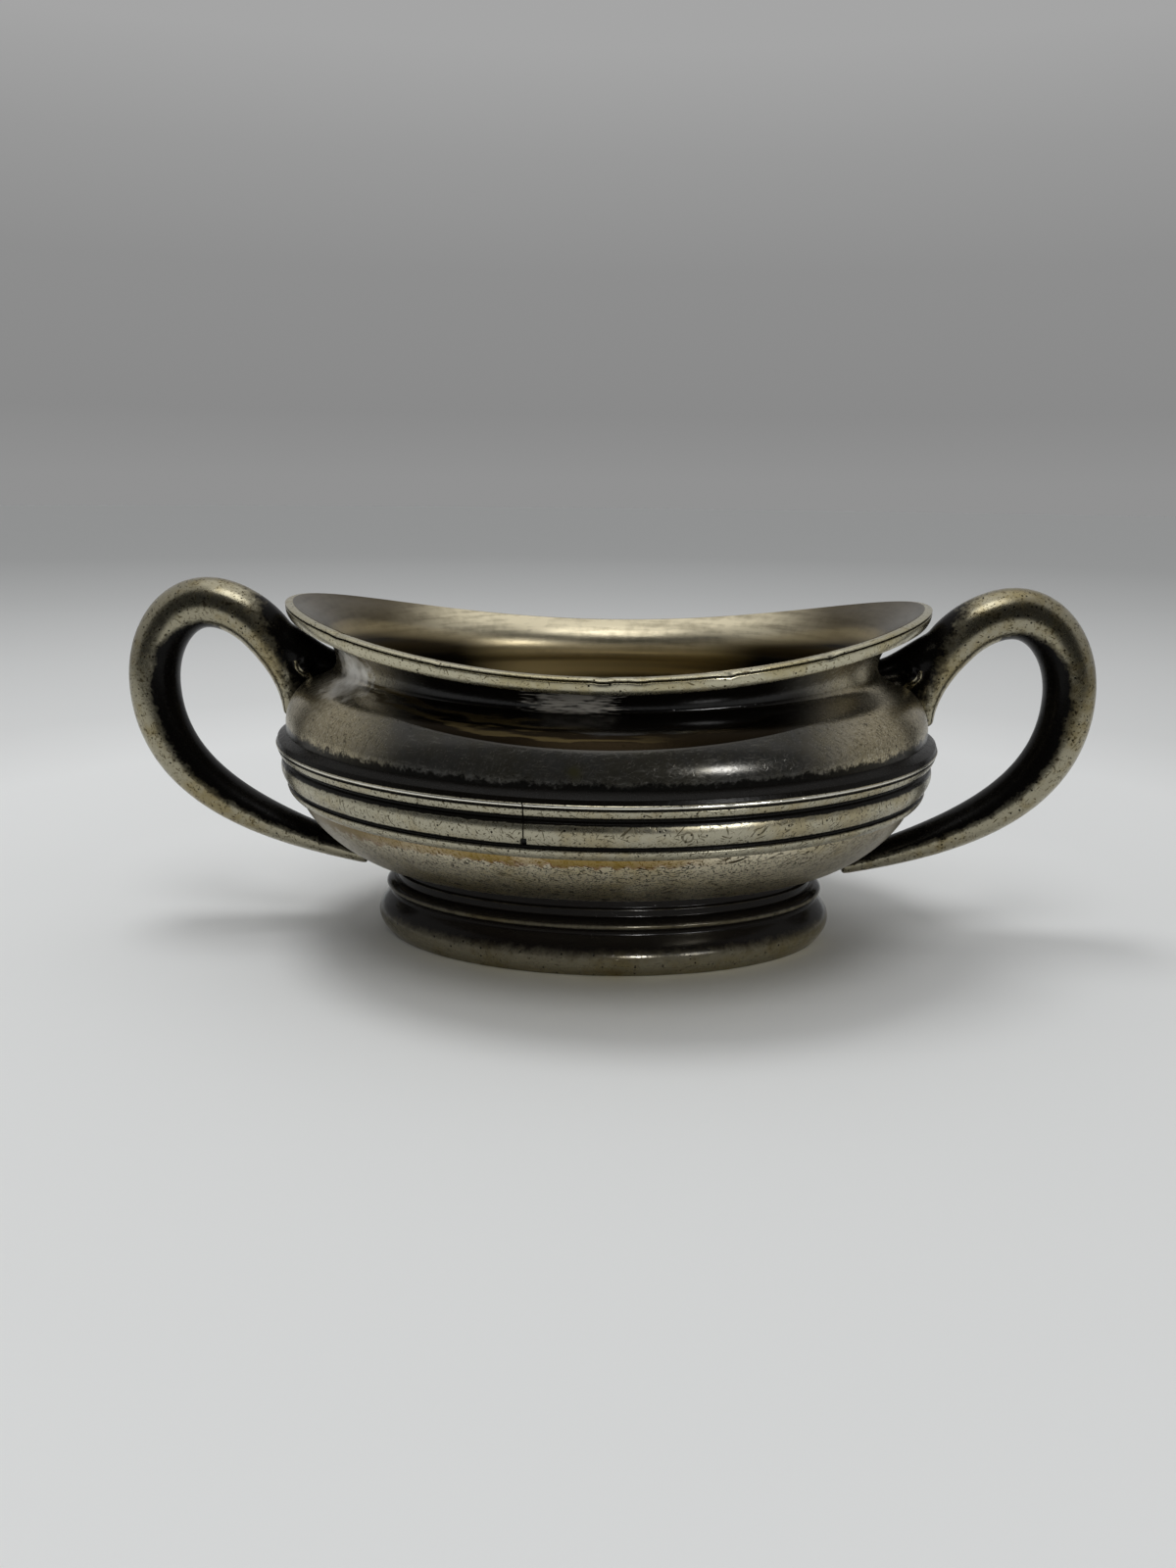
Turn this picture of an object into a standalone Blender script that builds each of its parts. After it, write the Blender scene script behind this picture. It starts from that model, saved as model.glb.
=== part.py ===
"""Oval two-handled bowl in plated nickel silver: pressed shells, drawn mouldings and cast handles.

The bowl stands on z = 0, centred on the origin, with its long axis and handles along X.
"""
import math

import bmesh
import bpy
import numpy as np
from mathutils import Vector

MM = 0.001

# Sheet, solder gap and fineness of the facets
WALL = 1.1 * MM
GAP = 0.3 * MM
SIDES = 56
SMOOTH_ANGLE = math.radians(35)

# Foot ring: oval of its top edge, heights and how far each moulding stands out from that oval
FOOT_LENGTH = 68.4 * MM
FOOT_WIDTH = 40.4 * MM
FOOT_BASE_HEIGHT = 6.4 * MM
FOOT_BASE_OUT = 3.7 * MM
FOOT_BASE_STEPS = 8
FOOT_TREAD_OUT = 2.3 * MM
FOOT_TREAD_WIDTH = 2.6 * MM
FOOT_COVE_OUT = 1.6 * MM
FOOT_COVE_HEIGHT = 0.6 * MM
FOOT_RIDGE_HEIGHT = 1.9 * MM
FOOT_RIDGE_OUT = 2.3 * MM
FOOT_FILLETS = 2
FOOT_FILLET_HEIGHT = 1.25 * MM
FOOT_FILLET_OUT = 0.6 * MM
FOOT_WALL = 1.5 * MM

# Lower shell: flat bottom a little wider than the foot, then one curve up to the moulding
SEAT_MARGIN = 0.8 * MM
LOWER_RISE = 12.2 * MM
LOWER_PULL_LONG = 5.5 * MM
LOWER_PULL_ACROSS = 2.0 * MM
LOWER_WALL_PULL = 5.0 * MM
LOWER_STEPS = 8

# Belly: the plain wall behind the moulding, measured at the top edge of the moulding
BELLY_LENGTH = 103.0 * MM
BELLY_WIDTH = 79.2 * MM
BELLY_LIFT = 0.9 * MM
WALL_TAPER = 0.16

# Belly moulding: heights down the strip, and how far each reed stands off the wall
LEDGE_FALL = 0.85 * MM
UPPER_REED_HEIGHT = 3.5 * MM
UPPER_REED_OUT = 2.0 * MM
UPPER_REED_UNDERCUT = 0.45 * MM
GROOVE_HEIGHT = 0.8 * MM
GROOVE_OUT = 1.1 * MM
BAND_HEIGHT = 3.4 * MM
BAND_OUT = 1.95 * MM
BAND_EDGE_OUT = 1.5 * MM
LOWER_REED_HEIGHT = 1.3 * MM
LOWER_REED_OUT = 1.7 * MM
LOWER_REED_EDGE_OUT = 1.3 * MM
REED_STEPS = 4
STRIP_JOINT_AT = -11.0 * MM

# Upper shell: plain wall, rounded shoulder, hollow neck and a lip that rises towards the handles
SHOULDER_FLAT = 1.1 * MM
SHOULDER_RADIUS = 7.0 * MM
SHOULDER_TURN = math.radians(62)
SHOULDER_STEPS = 5
NECK_IN_LONG = 4.6 * MM
NECK_IN_ACROSS = 4.7 * MM
NECK_RISE = 1.8 * MM
NECK_LIFT = 2.6 * MM
NECK_STEPS = 4
LIP_OVER_LONG = 6.5 * MM
LIP_OVER_ACROSS = 2.1 * MM
LIP_RISE = 3.7 * MM
LIP_LIFT = 7.0 * MM
LIP_UPRIGHT = 0.3
LIP_SLOPE_OUT = 0.5
LIP_SLOPE_UP = 0.3
LIP_STEPS = 5

# Rim moulding
RIM_OUT = 1.3 * MM
RIM_DROP = 1.0 * MM
RIM_TUCK = 0.6 * MM
RIM_GROOVE_AT = 0.75 * MM
RIM_GROOVE_HALF = 0.25 * MM
RIM_GROOVE_DEPTH = 0.3 * MM

# Handles: centre line of the loop, from the underside of the bowl round to the tip of the spur
HANDLE_SEAT_OUT = 5.3 * MM
HANDLE_SEAT_DROP = 0.2 * MM
HANDLE_REACH = 22.8 * MM
HANDLE_WAIST_RISE = 6.4 * MM
HANDLE_CROWN_OUT = 14.7 * MM
HANDLE_CROWN_RISE = 8.2 * MM
HANDLE_TAIL_PULL = 17.0 * MM
HANDLE_TAIL_SLOPE = 0.28
HANDLE_WAIST_PULL = 0.61
HANDLE_CROWN_PULL = 0.55
HANDLE_THICK = 8.1 * MM
HANDLE_WIDE = 7.8 * MM
HANDLE_TAIL_THICK = 3.2 * MM
HANDLE_TAIL_WIDE = 5.6 * MM
HANDLE_SIDES = 14
TAIL_STEPS = 16
CROWN_STEPS = 8
FORK_STEPS = 14

# Handle fork: a spur that runs down the shoulder and a stem to the neck, with a pellet in each web
SPUR_TIP_RISE = 0.7 * MM
SPUR_TIP_THICK = 1.6 * MM
SPUR_TIP_WIDE = 2.2 * MM
SPUR_STEPS = 8
SPUR_CROWN_PULL = 0.56
SPUR_TIP_PULL_IN = 0.26
SPUR_TIP_PULL_UP = 0.55
STEM_ROOT_THICK = 6.8 * MM
STEM_ROOT_WIDE = 6.6 * MM
STEM_THICK = 4.2 * MM
STEM_WIDE = 5.4 * MM
STEM_PULL = 0.35
STEM_STEPS = 6
PELLET_RADIUS = 1.3 * MM
PELLET_DROP = 1.4 * MM

# Finishes: colour and roughness of the plate, worn, darkened, polished by handling, and as cast
WORN_PLATE = ((0.40, 0.38, 0.33), 0.32)
DARK_PLATE = ((0.30, 0.28, 0.23), 0.28)
BRIGHT_PLATE = ((0.53, 0.50, 0.40), 0.29)
CAST_PLATE = ((0.30, 0.27, 0.20), 0.34)

# Heights that the pieces share, from the table upwards
foot_top = FOOT_BASE_HEIGHT + FOOT_COVE_HEIGHT + FOOT_RIDGE_HEIGHT + FOOT_FILLETS * FOOT_FILLET_HEIGHT
bowl_bottom = foot_top + GAP
strip_bottom = bowl_bottom + LOWER_RISE
strip_height = UPPER_REED_HEIGHT + BAND_HEIGHT + LOWER_REED_HEIGHT + 2 * GROOVE_HEIGHT
strip_top = strip_bottom + strip_height
seam = strip_bottom + LOWER_REED_HEIGHT + GROOVE_HEIGHT + BAND_HEIGHT / 2
shoulder_start = strip_top + SHOULDER_FLAT
shoulder_end = shoulder_start + SHOULDER_RADIUS * math.sin(SHOULDER_TURN)
neck_height = shoulder_end + NECK_RISE
lip_height = neck_height + LIP_RISE

# Ovals of the neck and lip, stepped in and out from the top of the shoulder
shoulder_in = SHOULDER_RADIUS * (1 - math.cos(SHOULDER_TURN))
neck_length = BELLY_LENGTH - 2 * (shoulder_in + NECK_IN_LONG)
neck_width = BELLY_WIDTH - 2 * (shoulder_in + NECK_IN_ACROSS)
lip_length = neck_length + 2 * LIP_OVER_LONG
lip_width = neck_width + 2 * LIP_OVER_ACROSS


def bezier(start, pull_a, pull_b, end, steps):
    """Points along one cubic curve, both ends included."""
    start, pull_a, pull_b, end = (np.array(p, float) for p in (start, pull_a, pull_b, end))
    points = []
    for t in np.linspace(0.0, 1.0, steps + 1):
        s = 1.0 - t
        points.append(s**3 * start + 3 * s * s * t * pull_a + 3 * s * t * t * pull_b + t**3 * end)
    return points


def bulge(start, end, crown, steps):
    """A reed between two (out, height) points, standing out to crown at its middle."""
    points = []
    for t in np.linspace(0.0, 1.0, steps + 1):
        out = start[0] + (end[0] - start[0]) * t
        level = (start[0] + end[0]) / 2
        points.append((out + (crown - level) * math.sin(math.pi * t), start[1] + (end[1] - start[1]) * t))
    return points


def ring(length, width, out, height, lift=0.0):
    """One oval of the bowl as (half length, half width, height at the sides, rise at the ends)."""
    return (length / 2 + out, width / 2 + out, height, lift)


def loft(rings, angles):
    """Grid of points: one row for each oval, one column for each angle."""
    a, b, z, lift = (np.array(column)[:, None] for column in zip(*rings))
    c, s = np.cos(angles)[None], np.sin(angles)[None]
    return np.stack([a * c, b * s, z + lift * c * c], axis=2)


def around():
    return np.arange(SIDES) * 2 * math.pi / SIDES


def outward(grid):
    """Unit normals of a lofted grid that closes round the bowl and runs upwards."""
    up = np.gradient(grid, axis=0)
    along = np.roll(grid, -1, axis=1) - np.roll(grid, 1, axis=1)
    normal = np.cross(along, up)
    return normal / np.linalg.norm(normal, axis=2, keepdims=True)


def mesh_from_grid(name, grid, closed_section, cap_ends, wrap=True):
    """Mesh of a lofted grid: rows may close into a tube section, columns may close round the bowl."""
    rows, columns = grid.shape[:2]
    mesh = bpy.data.meshes.new(name)
    bm = bmesh.new()
    verts = [[bm.verts.new(point) for point in row] for row in grid]
    for i in range(rows if closed_section else rows - 1):
        for k in range(columns if wrap else columns - 1):
            low, high, side = verts[i], verts[(i + 1) % rows], (k + 1) % columns
            bm.faces.new((low[k], low[side], high[side], high[k]))
    if cap_ends and wrap:
        bm.faces.new(verts[0])
        bm.faces.new(verts[-1])
    elif cap_ends:
        bm.faces.new([row[0] for row in verts])
        bm.faces.new([row[-1] for row in verts])
    bmesh.ops.recalc_face_normals(bm, faces=bm.faces)
    bm.to_mesh(mesh)
    bm.free()
    return mesh


def add_object(mesh, parent):
    mesh.shade_smooth()
    mesh.set_sharp_from_angle(angle=SMOOTH_ANGLE)
    obj = bpy.data.objects.new(mesh.name, mesh)
    bpy.context.scene.collection.objects.link(obj)
    obj.parent = parent
    return obj


def finish(obj, plate):
    """Each piece has its own plated-metal material."""
    colour, roughness = plate
    material = bpy.data.materials.new(obj.name + "_plate")
    material.use_nodes = True
    shader = material.node_tree.nodes["Principled BSDF"]
    shader.inputs["Base Color"].default_value = (*colour, 1.0)
    shader.inputs["Metallic"].default_value = 1.0
    shader.inputs["Roughness"].default_value = roughness
    obj.data.materials.append(material)


def helper(obj):
    obj.hide_render = True
    obj.display_type = "WIRE"


def combine(obj, other, operation):
    modifier = obj.modifiers.new(operation.lower() + "_" + other.name, "BOOLEAN")
    modifier.operation = operation
    modifier.solver = "EXACT"
    modifier.object = other


def foot_ring(parent):
    """Stepped pedestal: flat tread, bold rounded base, cove, ridge and fillet steps, hollow inside."""
    base_top = FOOT_BASE_HEIGHT
    ridge_foot = base_top + FOOT_COVE_HEIGHT
    ridge_top = ridge_foot + FOOT_RIDGE_HEIGHT
    fillets_out = FOOT_FILLETS * FOOT_FILLET_OUT
    section = bulge((FOOT_TREAD_OUT, 0.0), (FOOT_COVE_OUT, base_top), FOOT_BASE_OUT, FOOT_BASE_STEPS)
    section += bulge((FOOT_COVE_OUT, ridge_foot), (fillets_out, ridge_top), FOOT_RIDGE_OUT, REED_STEPS)
    for step in range(FOOT_FILLETS):
        out = fillets_out - (step + 1) * FOOT_FILLET_OUT
        low = ridge_top + step * FOOT_FILLET_HEIGHT
        section += [(out, low), (out, low + FOOT_FILLET_HEIGHT)]
    section += [(-FOOT_WALL, foot_top), (FOOT_COVE_OUT - FOOT_WALL, base_top)]
    section += [(FOOT_TREAD_OUT - FOOT_TREAD_WIDTH, 0.0)]
    rings = [ring(FOOT_LENGTH, FOOT_WIDTH, out, height) for out, height in section]
    return add_object(mesh_from_grid("foot_ring", loft(rings, around()), True, False), parent)


def wall_out(height):
    """How far the plain wall behind the moulding stands from the belly oval."""
    return -WALL_TAPER * max(strip_top - height, 0.0)


def wall_ring(height):
    return ring(BELLY_LENGTH, BELLY_WIDTH, wall_out(height), height, BELLY_LIFT)


def lower_rings():
    """Outside of the lower shell, from the edge of its flat bottom up to the seam."""
    start = ring(FOOT_LENGTH, FOOT_WIDTH, SEAT_MARGIN, bowl_bottom)
    end = wall_ring(strip_bottom)
    flat = np.array([LOWER_PULL_LONG, LOWER_PULL_ACROSS, 0.0, 0.0])
    drop = np.array([LOWER_WALL_PULL * WALL_TAPER, LOWER_WALL_PULL * WALL_TAPER, LOWER_WALL_PULL, 0.0])
    curve = bezier(start, np.array(start) + flat, np.array(end) - drop, end, LOWER_STEPS)
    return curve + [wall_ring(seam - GAP / 2)]


def upper_rings():
    """Outside of the upper shell, from the seam up to the lip."""
    rings = [wall_ring(seam + GAP / 2), wall_ring(strip_top)]
    for turn in np.linspace(0.0, SHOULDER_TURN, SHOULDER_STEPS + 1):
        out = -SHOULDER_RADIUS * (1 - math.cos(turn))
        height = shoulder_start + SHOULDER_RADIUS * math.sin(turn)
        rings.append(ring(BELLY_LENGTH, BELLY_WIDTH, out, height, BELLY_LIFT))
    shoulder = np.array(rings[-1])
    neck = np.array(ring(neck_length, neck_width, 0.0, neck_height, NECK_LIFT))
    lip = np.array(ring(lip_length, lip_width, 0.0, lip_height, LIP_LIFT))
    inward = np.array([-math.sin(SHOULDER_TURN), -math.sin(SHOULDER_TURN), math.cos(SHOULDER_TURN), 0.0])
    below = np.array([0.0, 0.0, NECK_RISE / 2, NECK_LIFT / 2])
    above = np.array([0.0, 0.0, LIP_RISE, LIP_LIFT - NECK_LIFT]) * LIP_UPRIGHT
    spread = (lip - neck) * np.array([LIP_SLOPE_OUT, LIP_SLOPE_OUT, LIP_SLOPE_UP, LIP_SLOPE_UP])
    rings += bezier(shoulder, shoulder + inward * NECK_RISE, neck - below, neck, NECK_STEPS)[1:]
    rings += bezier(neck, neck + above, lip - spread, lip, LIP_STEPS)[1:]
    return rings


def lower_shell(parent):
    """Pressed lower half: the lofted outside, an inside one wall thickness in, and a flat bottom."""
    outer = loft(lower_rings(), around())
    inner = outer - WALL * outward(outer)
    inner[0, :, 2] = outer[0, :, 2] + WALL
    grid = np.concatenate([outer, inner[::-1]])
    return add_object(mesh_from_grid("lower_shell", grid, False, True), parent)


def upper_shell(parent):
    """Pressed upper half, open at the seam and at the mouth, its lip cut plumb."""
    outer = loft(upper_rings(), around())
    normal = outward(outer)
    inner = outer - WALL * normal
    inner[-1] = outer[-1]
    inner[-1, :, 2] += WALL / np.abs(normal[-1, :, 2])
    grid = np.concatenate([outer, inner[::-1]])
    return add_object(mesh_from_grid("upper_shell", grid, True, False), parent)


def belly_moulding(parent):
    """Three-reed strip bent round the seam, its two ends meeting in a butt joint."""
    upper_foot = strip_top - UPPER_REED_HEIGHT
    band_top = upper_foot - GROOVE_HEIGHT
    band_foot = band_top - BAND_HEIGHT
    lower_top = band_foot - GROOVE_HEIGHT
    nose = strip_top - 2 * LEDGE_FALL
    lower_edges = (LOWER_REED_EDGE_OUT, strip_bottom), (LOWER_REED_EDGE_OUT, lower_top)
    band_edges = (BAND_EDGE_OUT, band_foot), (BAND_EDGE_OUT, band_top)
    section = [(GAP, strip_bottom)]
    section += bulge(*lower_edges, LOWER_REED_OUT, REED_STEPS)
    section += [(GROOVE_OUT, lower_top + GROOVE_HEIGHT / 3), (GROOVE_OUT, band_foot - GROOVE_HEIGHT / 3)]
    section += bulge(*band_edges, BAND_OUT, REED_STEPS)
    section += [(GROOVE_OUT, band_top + GROOVE_HEIGHT / 3), (GROOVE_OUT, upper_foot - GROOVE_HEIGHT / 3)]
    section += [(UPPER_REED_OUT - UPPER_REED_UNDERCUT, upper_foot), (UPPER_REED_OUT, nose)]
    section += [(UPPER_REED_OUT - LEDGE_FALL / 3, strip_top - LEDGE_FALL), (GAP, strip_top)]
    rings = []
    for out, height in section:
        rings.append(ring(BELLY_LENGTH, BELLY_WIDTH, wall_out(height) + out, height, BELLY_LIFT))
    joint = round((math.pi + math.acos(-STRIP_JOINT_AT * 2 / BELLY_LENGTH)) / (2 * math.pi / SIDES))
    opening = GAP / BELLY_WIDTH
    turns = (joint + np.arange(SIDES + 1)) * 2 * math.pi / SIDES
    turns[0] += opening
    turns[-1] -= opening
    return add_object(mesh_from_grid("belly_moulding", loft(rings, turns), True, True, wrap=False), parent)


def rim_rings(grooved):
    """Section of the rim strip as ovals: along its underside, up its outer face and over its top."""
    top = WALL + GAP
    section = [(-RIM_TUCK, -RIM_DROP), (RIM_OUT - RIM_TUCK / 2, -RIM_DROP), (RIM_OUT, -RIM_DROP + RIM_TUCK / 2)]
    if grooved:
        for step, depth in ((-1, 0.0), (0, RIM_GROOVE_DEPTH), (1, 0.0)):
            section.append((RIM_OUT - depth, top - RIM_GROOVE_AT + step * RIM_GROOVE_HALF))
    section.append((RIM_OUT - RIM_GROOVE_HALF, top))
    return [ring(lip_length, lip_width, out, lip_height + up, LIP_LIFT) for out, up in section]


def rim_moulding(parent):
    """Narrow strip with one engraved line, round the outside of the lip and flush with its top."""
    lip_side = [ring(lip_length, lip_width, GAP, lip_height + up, LIP_LIFT) for up in (WALL + GAP, -GAP)]
    grid = loft(rim_rings(True) + lip_side, around())
    return add_object(mesh_from_grid("rim_moulding", grid, True, False), parent)


def bowl_envelope(parent):
    """Outside of the shells and rim strip, one solder gap larger: the handles are trimmed to it."""
    grid = loft(lower_rings() + upper_rings()[1:-1] + rim_rings(False), around())
    grid = grid + GAP * outward(grid)
    obj = add_object(mesh_from_grid("bowl_envelope", grid, False, True), parent)
    helper(obj)
    return obj


def sweep(name, path, thick, wide):
    """Closed casting with an oval section along a path in the XZ plane."""
    path = np.array(path)
    tangent = np.gradient(path, axis=0)
    tangent /= np.linalg.norm(tangent, axis=1, keepdims=True)
    turn = np.arange(HANDLE_SIDES) * 2 * math.pi / HANDLE_SIDES
    rows = []
    for (x, z), (tx, tz), t, w in zip(path, tangent, thick, wide):
        across = np.cos(turn) * t / 2
        rows.append(np.stack([x - tz * across, np.sin(turn) * w / 2, z + tx * across], axis=1))
    return mesh_from_grid(name, np.array(rows), False, True)


def handle_paths():
    """Centre lines of the right-hand casting: the loop, from tail to spur tip, and the stem to the neck."""
    tail = np.array((FOOT_LENGTH / 2 + HANDLE_SEAT_OUT, bowl_bottom - HANDLE_SEAT_DROP))
    outermost = np.array((BELLY_LENGTH / 2 + HANDLE_REACH, strip_top + HANDLE_WAIST_RISE))
    crown = np.array((lip_length / 2 + HANDLE_CROWN_OUT, neck_height + NECK_LIFT + HANDLE_CROWN_RISE))
    tip = np.array((BELLY_LENGTH / 2 + SPUR_TIP_THICK / 2, strip_top + BELLY_LIFT + SPUR_TIP_RISE))
    neck = np.array((neck_length / 2 - WALL, neck_height))
    along = np.array((HANDLE_TAIL_PULL, HANDLE_TAIL_PULL * HANDLE_TAIL_SLOPE))
    below = np.array((0.0, outermost[1] - tail[1])) * HANDLE_WAIST_PULL
    above = np.array((0.0, crown[1] - outermost[1])) * HANDLE_CROWN_PULL
    beside = np.array((outermost[0] - crown[0], 0.0)) * HANDLE_CROWN_PULL
    beyond = np.array((crown[0] - tip[0], 0.0)) * SPUR_CROWN_PULL
    behind = (crown - tip) * np.array((-SPUR_TIP_PULL_IN, SPUR_TIP_PULL_UP))
    lower = bezier(tail, tail + along, outermost - below, outermost, TAIL_STEPS)
    upper = bezier(outermost, outermost + above, crown + beside, crown, CROWN_STEPS)
    inner = bezier(crown, crown - beyond, tip + behind, tip, FORK_STEPS)
    fork = inner[FORK_STEPS // 2]
    reach = (fork - neck) * STEM_PULL
    stem = bezier(fork, fork - reach, neck + np.array((reach[0], 0.0)), neck, STEM_STEPS)
    return lower + upper[1:] + inner[1:], stem


def taper(start, middle, end):
    """Sizes along the loop: swelling along the tail, level round the crown, thinning down the spur."""
    count = TAIL_STEPS + CROWN_STEPS + FORK_STEPS
    sizes = []
    for i in range(count + 1):
        opening = 1 - min(i / TAIL_STEPS, 1.0)
        closing = 1 - min((count - i) / SPUR_STEPS, 1.0)
        sizes.append(middle - (middle - start) * opening**2 - (middle - end) * closing**2)
    return sizes


def pellet(name, place, parent):
    mesh = bpy.data.meshes.new(name)
    bm = bmesh.new()
    bmesh.ops.create_icosphere(bm, subdivisions=2, radius=PELLET_RADIUS)
    bmesh.ops.translate(bm, verts=bm.verts, vec=place)
    bm.to_mesh(mesh)
    bm.free()
    return add_object(mesh, parent)


def handle(name, turned, envelope, parent):
    """Cast loop whose upper end forks: a spur lies down the shoulder and a stem reaches the neck."""
    loop, stem = handle_paths()
    thick = taper(HANDLE_TAIL_THICK, HANDLE_THICK, SPUR_TIP_THICK)
    wide = taper(HANDLE_TAIL_WIDE, HANDLE_WIDE, SPUR_TIP_WIDE)
    obj = add_object(sweep(name, loop, thick, wide), parent)
    stem_thick = np.linspace(STEM_ROOT_THICK, STEM_THICK, STEM_STEPS + 1)
    stem_wide = np.linspace(STEM_ROOT_WIDE, STEM_WIDE, STEM_STEPS + 1)
    additions = [add_object(sweep(name + "_stem", stem, stem_thick, stem_wide), parent)]
    web = STEM_STEPS // 2
    for side, label in ((-1, "_pellet_front"), (1, "_pellet_back")):
        place = Vector((stem[web][0], side * stem_wide[web] / 2, stem[web][1] - PELLET_DROP))
        additions.append(pellet(name + label, place, parent))
    for piece in additions:
        combine(obj, piece, "UNION")
        helper(piece)
    combine(obj, envelope, "DIFFERENCE")
    for piece in [obj] + additions:
        piece.rotation_euler.z = math.pi if turned else 0.0
    return obj


def build():
    for obj in list(bpy.data.objects):
        bpy.data.objects.remove(obj, do_unlink=True)
    base = bpy.data.objects.new("bowl_base", None)
    bpy.context.scene.collection.objects.link(base)
    finish(foot_ring(base), DARK_PLATE)
    finish(lower_shell(base), WORN_PLATE)
    finish(upper_shell(base), DARK_PLATE)
    finish(belly_moulding(base), BRIGHT_PLATE)
    finish(rim_moulding(base), BRIGHT_PLATE)
    envelope = bowl_envelope(base)
    finish(handle("handle_left", True, envelope, base), CAST_PLATE)
    finish(handle("handle_right", False, envelope, base), CAST_PLATE)


build()
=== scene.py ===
"""Looks of the oval two-handled bowl: worn silver plate with yellow tarnish and black recesses.

Metres, +Z up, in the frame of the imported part. Every piece rides on the one body, root.
"""

import math

import bmesh
import bpy
from mathutils import Matrix, Vector


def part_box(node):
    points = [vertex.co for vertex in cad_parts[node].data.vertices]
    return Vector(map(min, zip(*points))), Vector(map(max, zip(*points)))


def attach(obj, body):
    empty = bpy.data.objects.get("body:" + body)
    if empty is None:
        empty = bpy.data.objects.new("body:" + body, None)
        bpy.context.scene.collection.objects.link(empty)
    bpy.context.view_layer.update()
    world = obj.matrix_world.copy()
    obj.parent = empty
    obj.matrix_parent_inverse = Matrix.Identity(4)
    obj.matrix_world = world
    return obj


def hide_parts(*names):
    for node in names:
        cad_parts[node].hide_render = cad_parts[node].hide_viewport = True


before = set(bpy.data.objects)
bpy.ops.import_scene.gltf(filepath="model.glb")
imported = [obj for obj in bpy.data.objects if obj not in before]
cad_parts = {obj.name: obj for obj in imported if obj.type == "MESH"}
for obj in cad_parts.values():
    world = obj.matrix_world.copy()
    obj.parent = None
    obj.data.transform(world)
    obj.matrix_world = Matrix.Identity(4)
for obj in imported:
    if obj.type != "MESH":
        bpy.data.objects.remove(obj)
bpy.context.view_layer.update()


# Foot ring: a stepped oval pedestal, hollow underneath, that the bowl is soldered to.
# Pressed nickel silver, plated. Its steps are black with old polish and tarnish, and only the
# lowest part of the base is rubbed bright.
MM = 0.001
COLUMNS = 320
BEVEL_STEPS = 3
BEVEL_ANGLE = math.radians(28)
SMOOTH_ANGLE = math.radians(40)
EDGE_ROUND = 0.16 * MM
FOOT_BASE_HEIGHT = 6.4 * MM
FOOT_BASE_OUT = 3.7 * MM
FOOT_BASE_STEPS = 20
FOOT_TREAD_OUT = 2.3 * MM
FOOT_TREAD_WIDTH = 2.6 * MM
FOOT_COVE_OUT = 1.6 * MM
FOOT_COVE_HEIGHT = 0.6 * MM
FOOT_RIDGE_HEIGHT = 1.9 * MM
FOOT_RIDGE_OUT = 2.3 * MM
FOOT_RIDGE_STEPS = 10
FOOT_FILLETS = 2
FOOT_FILLET_HEIGHT = 1.25 * MM
FOOT_FILLET_OUT = 0.6 * MM
FOOT_WALL = 1.5 * MM


def bulge(start, end, crown, steps):
    """A reed between two (out, height) points, standing out to crown at its middle."""
    level = (start[0] + end[0]) / 2
    points = []
    for i in range(steps + 1):
        t = i / steps
        out = start[0] + (end[0] - start[0]) * t + (crown - level) * math.sin(math.pi * t)
        points.append((out, start[1] + (end[1] - start[1]) * t))
    return points


def oval_wall(name, rows):
    """A circle scaled to the first oval, then extruded and scaled from oval to oval.

    A row is half length, half width, height at the sides, rise at the ends and darkness: patina, and below 0
    a painted highlight.
    """
    bpy.ops.object.select_all(action="DESELECT")
    bpy.ops.mesh.primitive_circle_add(vertices=COLUMNS, radius=1.0)
    piece = bpy.context.object
    piece.name = name
    piece.data.name = name
    bpy.ops.object.mode_set(mode="EDIT")
    bpy.ops.mesh.select_mode(type="EDGE")
    bpy.ops.mesh.select_all(action="SELECT")
    bmesh.from_edit_mesh(piece.data).verts.layers.float.new("patina_and_painted_light")
    last_length, last_width = 1.0, 1.0
    for i, (length, width, height, lift, darkness) in enumerate(rows):
        if i:
            bpy.ops.mesh.extrude_region()
        bpy.ops.transform.resize(value=(length / last_length, width / last_width, 1.0))
        mesh = bmesh.from_edit_mesh(piece.data)
        patina_and_painted_light = mesh.verts.layers.float["patina_and_painted_light"]
        for vert in mesh.verts:
            if vert.select:
                vert.co.z = height + lift * (vert.co.x / length) ** 2
                vert[patina_and_painted_light] = darkness
        last_length, last_width = length, width
    return piece


def round_edges(size):
    """Bevel every sharp edge of the wall being shaped."""
    bpy.ops.mesh.select_all(action="DESELECT")
    bpy.ops.mesh.edges_select_sharp(sharpness=BEVEL_ANGLE)
    bpy.ops.mesh.bevel(offset=size, segments=BEVEL_STEPS, affect="EDGES", clamp_overlap=True)


def close_section():
    """Bridge the first and last ovals of the wall being shaped, so that its section closes."""
    bpy.ops.mesh.select_all(action="DESELECT")
    bpy.ops.mesh.select_non_manifold()
    bpy.ops.mesh.bridge_edge_loops()


def settle(piece, node_name):
    """Leave edit mode with outward faces and smooth shading, and stand for the CAD node."""
    bpy.ops.mesh.select_all(action="SELECT")
    bpy.ops.mesh.normals_make_consistent(inside=False)
    bpy.ops.object.mode_set(mode="OBJECT")
    bpy.ops.object.shade_smooth_by_angle(angle=SMOOTH_ANGLE)
    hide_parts(node_name)
    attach(piece, "root")


def colour(code):
    """A hex sRGB colour as the linear one that sockets take."""
    channels = [int(code[i:i + 2], 16) / 255 for i in (1, 3, 5)]
    return [c / 12.92 if c < 0.04045 else ((c + 0.055) / 1.055) ** 2.4 for c in channels] + [1.0]


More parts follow.
